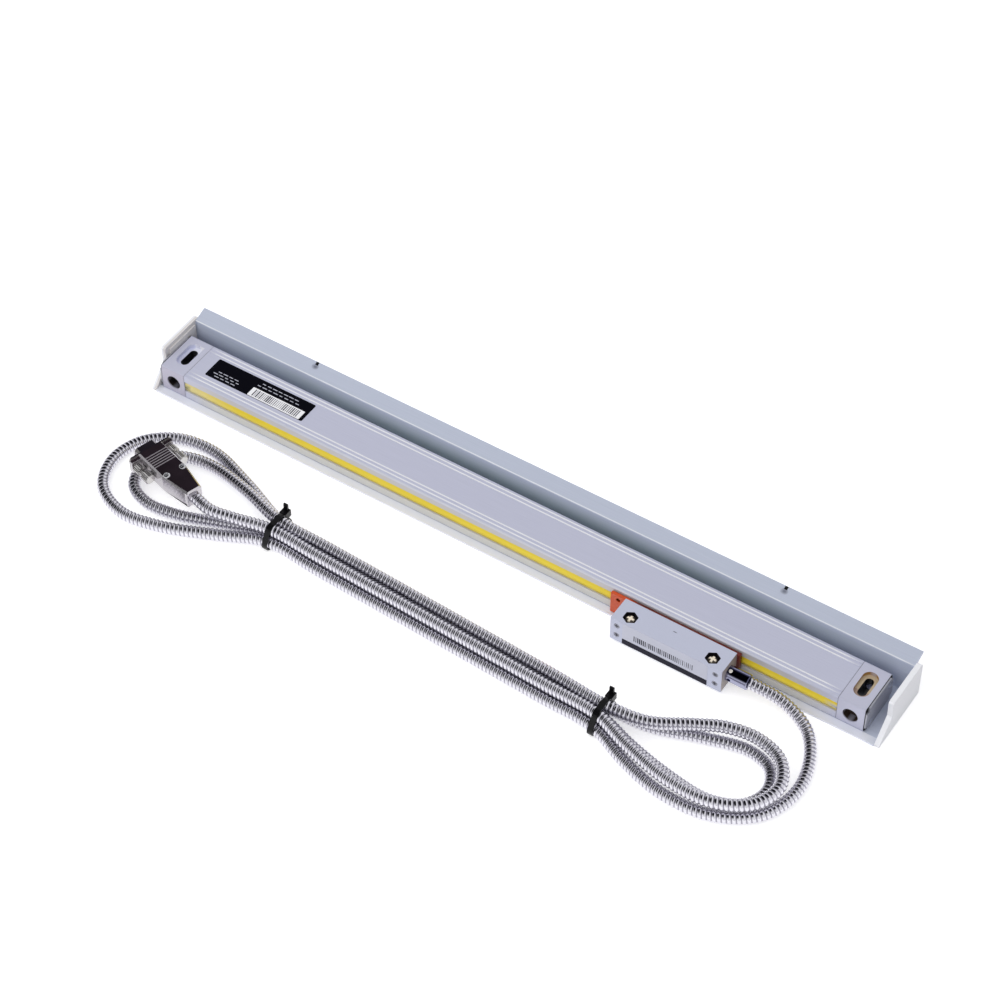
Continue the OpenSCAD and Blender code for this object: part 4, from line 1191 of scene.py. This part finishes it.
@dataclass
class Lead(SubAssembly):
    """Armoured lead from the head's ferrule to the plug, in loops held by two ties.

    Attributes:
        route: Points of its centreline, in millimetres.
        diameter: Outer diameter of the armour.
        pitch: Distance from rib to rib.
        groove: Depth of the groove between two ribs.
        sharpness: How narrow the groove is: its power of a wave.
        sides: Faces round the hose.
        rings: Rings to one rib.
        spacing: Longest step of the centreline.
    """

    dressing = {NYLON: ("tie_left", "tie_right")}
    route: Sequence[Point] = (
        (185, -11.5, 11.2), (208, -12, 9.6), (228, -20, 6), (240, -38, 4.2), (244, -62, 4.2),
        (235, -86, 4.2), (211, -101, 4.2), (180, -103, 4.2), (150, -95, 4.2),
        (124, -84.5, 5), (85, -82, 4.2), (-80, -74, 4.2), (-117, -72.5, 5),
        (-148, -85, 4.2), (-180, -98, 4.2), (-208, -102, 4.2), (-231, -91, 4.2), (-240, -69, 4.2),
        (-234, -47, 4.2), (-216, -33, 4.2), (-190, -30, 4.2), (-158, -40, 4.2),
        (-117, -56, 5), (-80, -57, 4.2), (85, -65, 4.2), (124, -68, 5),
        (150, -66, 4.2), (180, -56, 4.2), (208, -49.5, 4.2), (224, -55, 4.2), (230, -70, 4.2),
        (223, -85, 4.2), (204, -92.5, 4.2), (176, -90, 4.2), (148, -83.5, 4.2),
        (124, -76.2, 5), (85, -73.5, 4.2), (-80, -65.5, 4.2), (-117, -64.2, 5),
        (-150, -75, 4.2), (-178, -85, 4.2), (-200, -87, 4.2), (-215, -80, 4.2), (-220, -66, 4.2),
        (-215, -51, 4.2), (-200, -42.5, 4.2), (-182, -41.5, 5.5), (-150, -50, 10.4),
        (-117, -60, 12.2), (-80, -61, 11.4), (85, -69, 11.4), (124, -72, 12.2),
        (150, -69, 12), (174, -56, 12.2), (190, -48, 12.4), (210, -45, 12.4), (228, -51.5, 12.4),
        (237, -68, 12.4), (231, -86, 12.4), (210, -98, 12.4), (182, -98.5, 12.4), (150, -90, 12),
        (124, -80.5, 12.2), (85, -78, 11.4), (-80, -70, 11.4), (-117, -68.5, 12.2),
        (-141, -74, 13.2), (-157, -77.6, 14.6), (-170.9, -74.4, 14.8),
    )
    diameter: float = 8.0 * MM
    pitch: float = 2.7 * MM
    groove: float = 0.65 * MM
    sharpness: float = 2.5
    sides: int = 16
    rings: int = 6
    spacing: float = 4.0 * MM

    def centreline(self) -> list[Vector]:
        """Draw the centripetal spline through the route.

        Returns:
            Points along the lead, in metres.
        """
        chosen = [Vector(p) * MM for p in self.route]
        chosen = [2 * chosen[0] - chosen[1], *chosen, 2 * chosen[-1] - chosen[-2]]

        def mixed(p: Vector, q: Vector, a: float, b: float, at: float) -> Vector:
            """Weigh two points by where a value lies between theirs."""
            return (p * (b - at) + q * (at - a)) / (b - a)

        line = []
        for a, b, c, d in zip(chosen, chosen[1:], chosen[2:], chosen[3:]):
            k1 = math.sqrt((b - a).length)
            k2 = k1 + math.sqrt((c - b).length)
            k3 = k2 + math.sqrt((d - c).length)
            steps = math.ceil((c - b).length / self.spacing)
            for i in range(steps):
                at = k1 + (k2 - k1) * i / steps
                ab, bc, cd = mixed(a, b, 0, k1, at), mixed(b, c, k1, k2, at), mixed(c, d, k2, k3, at)
                line.append(mixed(mixed(ab, bc, 0, k2, at), mixed(bc, cd, k1, k3, at), k1, k2, at))
        line.append(chosen[-2])
        return line

    def build(self, with_pieces: Sequence[Object]) -> None:
        """Args:
            with_pieces: The pieces on the lead. Not used.
        """
        self.dress()
        line = self.centreline()
        points = [tuple(p) for p in line]
        length = sum((b - a).length for a, b in zip(line, line[1:]))
        armour = Piece("lead_armour", ARMOUR, "reader", ["cable"])
        piece = armour.grow(line_object("lead_line", points), armour_tree(), {
            "Radius": self.diameter / 2, "Groove": self.groove, "Pitch": self.pitch,
            "Length": length, "Sides": self.sides, "Rings": self.rings,
            "Sharpness": self.sharpness,
        })
        tuple(line[0])
        [tuple(p) for p in line]


# ---- scale, channel and carriage ----


@dataclass
class ScaleBody(SubAssembly):
    """Extruded body with its end blocks, gaskets, plates, lips and glass.

    Attributes:
        ridge: Height of the raised lines above the top face.
        label_at: Corner of the label, from the extrusion's left end and front face.
        label_size: Length and width of the label.
        panel_at: Corner of the label's pale panel, from that of the label.
        panel_size: Length and width of the panel.
        film_t: Thickness of the label. The panel on it is half as thick.
        corners: Radii of the corners of the label and of the panel.
        bars: Row of bars on the panel.
        dash: Row of plain dashes on the label, but for their number.
        dashes: Place along the label, inset and number of dashes of each such row.
        slit: Opening between the lips.
        seam: Half the gap that is left between their edges.
        edge: Outline of a feathered edge: millimetres from the lip's front, share of its reach.
    """

    dressing = {
        ANODISED: ("housing",), MILLED: ("end_block_left", "end_block_right"),
        PLATE: ("end_plate_left", "end_plate_right"),
        JOINT: ("joint_gasket_left", "joint_gasket_right"),
        RUBBER: ("end_gasket_left", "end_gasket_right"), STEEL: ("end_screws",),
        LIP: ("lip_upper", "lip_lower"), GLASS: ("glass_scale",), BOND: ("glass_strip",),
    }
    ridge: float = 0.3 * MM
    label_at: tuple[float, float] = (10.0 * MM, 8.8 * MM)
    label_size: tuple[float, float] = (75.5 * MM, 16.2 * MM)
    panel_at: tuple[float, float] = (33.0 * MM, 0.3 * MM)
    panel_size: tuple[float, float] = (40.0 * MM, 7.6 * MM)
    film_t: float = 0.1 * MM
    corners: tuple[float, float] = (1.0 * MM, 0.4 * MM)
    bars: MarkRow = MarkRow(26, 1.35 * MM, (0.6 * MM, 5.928 * MM, 0.04 * MM), 1.6, 4)
    dash: MarkRow = MarkRow(0, 4.2 * MM, (2.9 * MM, 0.6 * MM, 0.04 * MM), 1.3, 20)
    dashes: Sequence[tuple[float, float, int]] = (
        (14 * MM, 2.2 * MM, 4), (14 * MM, 4.4 * MM, 5), (14 * MM, 6.6 * MM, 4),
        (50 * MM, 10.6 * MM, 8), (50 * MM, 13.2 * MM, 7),
    )
    slit: float = 1.5 * MM
    seam: float = 0.02 * MM
    edge: Sequence[tuple[float, float]] = (
        (0.0, 0.0), (0.65, 0.0), (0.42, 0.5), (0.22, 0.86), (0.05, 1.0), (-0.12, 0.9), (-0.12, 0.5),
    )

    def label(self) -> None:
        """Lay the black label on the top face, with a pale panel of plain bars."""
        low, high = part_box("housing")
        corner = Vector((low.x + self.label_at[0], low.y + self.label_at[1], high.z - self.ridge))
        panel = corner + Vector((*self.panel_at, self.film_t))

        def on_top(start: Vector) -> Callable[[float, float, float], Point]:
            """Return a placer for a film on the top face."""
            return lambda u, v, out: (start.x + u, start.y + v, start.z + out)

        Piece("scale_label", INK, "root").film(on_top(corner), self.label_size, self.film_t,
                                               self.corners[0])
        Piece("scale_label_panel", WHITE_FILM, "root").film(on_top(panel), self.panel_size,
                                                            self.film_t / 2, self.corners[1])
        middle = Vector((self.panel_size[0] / 2, self.panel_size[1] / 2, self.film_t / 2))
        self.bars.lay(Piece("scale_label_bars", PRINT, "root"), panel + middle)
        for i, (along, inset, count) in enumerate(self.dashes):
            row = replace(self.dash, count=count, seed=self.dash.seed + i)
            row.lay(Piece(f"scale_label_dashes_{i + 1}", PALE_PRINT, "root"),
                    corner + Vector((along, inset, self.film_t)))

    def lip_edges(self) -> None:
        """Narrow the slit with the feathered edges of the two lips, which part round the arm."""
        for name, up in (("lip_upper", 1), ("lip_lower", -1)):
            low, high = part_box(name)
            edge = low.z if up > 0 else high.z
            reach = up * (self.slit / 2 - self.seam)
            ends = [[(x, low.y + y * MM, edge - z * reach) for y, z in self.edge]
                    for x in (low.x, high.x)]
            Piece(f"{name}_edge", LIP, "root").prism(*ends)

    def build(self) -> None:
        """Dress the body, narrow its slit and lay its label."""
        self.dress()
        self.lip_edges()
        self.label()


@dataclass
class CoverChannel(SubAssembly):
    """Channel that shields the scale, with its end caps and the stops in its flange.

    Attributes:
        stop_apart: Distance of each rubber stop from the middle of the channel.
        stop_in: Distance of the stops from the flange's long edge, and from its top.
        stop: Head of a stop.
        slope: Slope of the flange, in degrees.
    """

    dressing = {CHANNEL: ("cover_channel",), CAP: ("cap_left", "cap_right")}
    stop_apart: float = 170.0 * MM
    stop_in: tuple[float, float] = (1.65 * MM, 0.58 * MM)
    stop: ScrewHead = ScrewHead(0.95, 0.5, 2.2, (0.3, 0.3, 0.1), 6, False)
    slope: float = 19.0

    def build(self) -> None:
        """Dress the channel and its caps, and press the stops into the flange's two holes."""
        self.dress()
        low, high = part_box("cover_channel")
        middle = (low.x + high.x) / 2
        points = [(middle + s * self.stop_apart, high.y - self.stop_in[0],
                   high.z - self.stop_in[1]) for s in (-1, 1)]
        a = math.radians(self.slope)
        self.stop.lay(Piece("flange_stops", RUBBER, "root"), points,
                      (0.0, -math.sin(a), math.cos(a)))


@dataclass
class Carriage(SubAssembly):
    """Scanning carriage inside the body, and the spring coupling that pulls it."""

    dressing = {
        CARRIAGE_ALLOY: ("carriage", "coupling_block"), GLASS: ("reticle",),
        STEEL: ("face_roller_left", "face_roller_middle", "face_roller_right", "edge_roller_left",
                "edge_roller_right", "roller_pins", "coupling_spring", "spring_screws",
                "block_screws", "arm", "arm_screws", "board_screws"),
        BOARD: ("detector_board", "lamp_board", "head_board"),
    }

    def build(self) -> None:
        """Dress the inner nodes."""
        self.dress()


# ---- reading head ----


@dataclass
class ReadingHead(SubAssembly):
    """Head with its front cover, label, screws, ferrule and transport bracket.

    Attributes:
        label_in: Distance of the label from the left end of the head.
        label_length: Length of the label.
        label_edge: Distance of the label from the cover's lower and upper edges.
        band_at: Height of the foot of its dark band.
        band_height: Height of that band.
        film_t: Thickness of the film. The band on it is half as thick.
        corners: Radii of the corners of the label and of the band.
        bars: Row of bars on the label.
        bars_at: Distance of the bars' middle from the label's, and its height.
        mount: Head of a mounting screw.
        mount_in: Distance of the mounting screws from the ends of the head, and from its front.
        pocket: Depth of the screw pockets.
        plate_screw: Head of a screw of the front cover.
        plate_in: Distance of those screws from the ends of the head, and behind its front.
        plate_up: Distance of those screws from its middle height.
        lock: Set screw of the ferrule.
        lock_at: Distance of the set screw from the head, and below the ferrule's skin.
        lock_turn: Turn of the set screw from straight up, in degrees.
    """

    dressing = {HEAD: ("head_body", "head_cover"), CHROME: ("gland",), BRACKET: ("transport_bracket",)}
    label_in: float = 8.5 * MM
    label_length: float = 58.0 * MM
    label_edge: float = 0.2 * MM
    band_at: float = 0.35 * MM
    band_height: float = 4.5 * MM
    film_t: float = 0.12 * MM
    corners: tuple[float, float] = (1.2 * MM, 0.3 * MM)
    bars: MarkRow = MarkRow(32, 1.28 * MM, (0.55 * MM, 0.06 * MM, 4.6 * MM), 1.7, 11)
    bars_at: tuple[float, float] = (-1.0 * MM, 9.6 * MM)
    mount: ScrewHead = ScrewHead(3.5, 4.7, 2.6, (5.0, 1.5, 0.5), 2)
    mount_in: tuple[float, float] = (10.0 * MM, 6.3 * MM)
    pocket: float = 5.0 * MM
    plate_screw: ScrewHead = ScrewHead(2.05, 0.85, 8.0, (2.6, 0.9, 0.7), 5)
    plate_in: tuple[float, float] = (4.4 * MM, 1.0 * MM)
    plate_up: float = 4.0 * MM
    lock: ScrewHead = ScrewHead(1.2, 0.7, 3.0, (2.0, 0.35, 0.3), 3, False)
    lock_at: tuple[float, float] = (2.0 * MM, 0.3 * MM)
    lock_turn: float = 22.0

    def label(self) -> None:
        """Lay the label on the front cover: pale film, dark band and plain bars."""
        low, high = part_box("head_cover")
        start = low.x + self.label_in

        def on_front(up: float, lift: float) -> Callable[[float, float, float], Point]:
            """Return a placer for a film on the front face."""
            return lambda u, v, out: (start + u, low.y - lift - out, low.z + up + v)

        size = (self.label_length, high.z - low.z - 2 * self.label_edge)
        Piece("head_label", FILM, "reader").film(on_front(self.label_edge, 0), size, self.film_t,
                                                 self.corners[0])
        Piece("head_label_band", BAND, "reader").film(
            on_front(self.band_at, self.film_t), (self.label_length, self.band_height),
            self.film_t / 2, self.corners[1])
        centre = Vector((start + self.label_length / 2 + self.bars_at[0], low.y - self.film_t,
                         low.z + self.bars_at[1]))
        self.bars.lay(Piece("head_label_bars", PRINT, "reader"), centre)

    def screws(self) -> None:
        """Set the heads of the mounting screws, of the cover's screws and of the set screw."""
        low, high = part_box("head_cover")
        inset, back = self.mount_in
        points = [(x, low.y + back, high.z - self.pocket) for x in (low.x + inset, high.x - inset)]
        # mounting screw heads: dark, with painted highlights in their cross recesses
        self.mount.lay(Piece("head_screw_heads", DARK_SCREW_STEEL, "reader", ["head_screws"]), points)
        inset, back = self.plate_in
        middle = (low.z + high.z) / 2
        points = [(x, low.y + back, middle + s * self.plate_up)
                  for x in (low.x + inset, high.x - inset) for s in (-1, 1)]
        self.plate_screw.lay(Piece("cover_screw_heads", BLUED, "reader", ["head_cover_screws"]),
                             points, (0.0, -1.0, 0.0))
        off, sunk = self.lock_at
        foot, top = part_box("gland")
        reach = (top.z - foot.z) / 2 - sunk
        a = math.radians(self.lock_turn)
        spot = (high.x + off, (foot.y + top.y) / 2 - reach * math.sin(a),
                (foot.z + top.z) / 2 + reach * math.cos(a))
        # near-white set screw where the ferrule shows a glint: partly a painted highlight
        self.lock.lay(Piece("ferrule_set_screw", SATIN_NICKEL, "reader"), [spot],
                      (0.0, -math.sin(a), math.cos(a)))

    def build(self) -> None:
        """Dress the head, lay its label and set its screws."""
        self.dress()
        self.label()
        self.screws()


# ---- plug ----


@dataclass
class Plug(SubAssembly):
    """Nine-way plug on the end of the lead.

    Attributes:
        origin: Middle of the mating face.
        turn: Turn of the plug about Z, in degrees.
        screw: Head of a screw of the hood.
        screw_at: Its place behind the mating face, from the plug's axis and above that axis.
        jack_out: Distance of the thumb screws from the plug's axis.
        jack_profile: Outline of a thumb screw's knob, in millimetres: distance behind the
            face, and radius.
        flutes: Number of flutes round the knob.
        flute_depth: Depth of a flute, as a share of the radius.
    """

    dressing = {HOOD: ("hood_upper", "hood_lower"), SHELL: ("plug_shell",),
                INSULATOR: ("plug_insulator",), BRASS: ("plug_sockets",)}
    origin: Point = (-222.0 * MM, -59.0 * MM, 14.8 * MM)
    turn: float = -16.8
    screw: ScrewHead = ScrewHead(2.3, 1.4, 2.4, (2.9, 0.7, 0.8), 9)
    screw_at: Point = (33.0 * MM, 5.9 * MM, 6.5 * MM)
    jack_out: float = 12.5 * MM
    jack_profile: Sequence[tuple[float, float]] = (
        (2.5, 0.9), (3.0, 1.45), (9.9, 1.45), (10.0, 3.1), (10.4, 3.5), (15.0, 3.5), (15.6, 2.0),
        (18.0, 2.0), (18.6, 3.5), (24.0, 3.5), (24.5, 3.0),
    )
    flutes: int = 20
    flute_depth: float = 0.09

    def place(self, x: float, y: float, z: float) -> Point:
        """Turn a point of the plug's own frame into a point of the model's frame.

        Args:
            x: Distance behind the mating face.
            y: Distance across.
            z: Height above the axis.

        Returns:
            The point in the model's frame.
        """
        a = math.radians(self.turn)
        return (self.origin[0] + x * math.cos(a) - y * math.sin(a),
                self.origin[1] + x * math.sin(a) + y * math.cos(a), self.origin[2] + z)

    def thumb_screw(self, name: str, side: int) -> Object:
        """Make one fluted thumb screw.

        Args:
            name: Word for its side: front or back.
            side: -1 for the front one, 1 for the back one.

        Returns:
            The finished screw.
        """
        points = [self.place(x * MM, side * self.jack_out, 0) for x, _ in self.jack_profile]
        source = line_object("knob_line", points)
        radius = source.data.attributes.new("radius", "FLOAT", "POINT")
        radius.data.foreach_set("value", [r * MM for _, r in self.jack_profile])
        knob = Piece(f"thumb_screw_{name}", NICKEL, f"{name}_jack", [f"jackscrew_{name}"])
        return knob.grow(source, knob_tree(), {"Flutes": self.flutes, "Depth": self.flute_depth})

    def build(self) -> list[Object]:
        """Dress the plug and make its screws.

        Returns:
            The pieces that were made.
        """
        self.dress()
        behind, out, up = self.screw_at
        points = [self.place(behind, s * out, up) for s in (-1, 1)]
        heads = self.screw.lay(Piece("hood_screw_heads", STEEL, "reader", ["hood_screws"]), points)
        return [heads, self.thumb_screw("front", -1), self.thumb_screw("back", 1)]


# ---- the whole ----


@dataclass
class GlassScale:
    """The whole object, in its studio.

    Attributes:
        on_lead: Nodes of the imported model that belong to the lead.
        studio: Camera, floor and lamps.
        plug: Plug at the end of the lead.
        lead: The lead.
        others: The other parts, in the order in which they are built.
    """

    on_lead: Sequence[str] = ("tie_left", "tie_right", "hood_lower", "hood_upper", "plug_shell",
                              "plug_insulator", "plug_sockets")
    studio: Studio = field(default_factory=Studio)
    plug: Plug = field(default_factory=Plug)
    lead: Lead = field(default_factory=Lead)
    others: Sequence[type] = (CoverChannel, ScaleBody, Carriage, ReadingHead)

    def build(self) -> None:
        """Build the studio and every part in order."""
        self.studio.build()
        made = self.plug.build()
        self.lead.build([*made, *(frame["nodes"][n] for n in self.on_lead)])
        for part in self.others:
            part().build()


def main() -> None:
    """Build the scene and report each piece."""
    logging.basicConfig(level=logging.INFO, format="%(message)s")
    GlassScale().build()


if __name__ == "__main__":
    main()
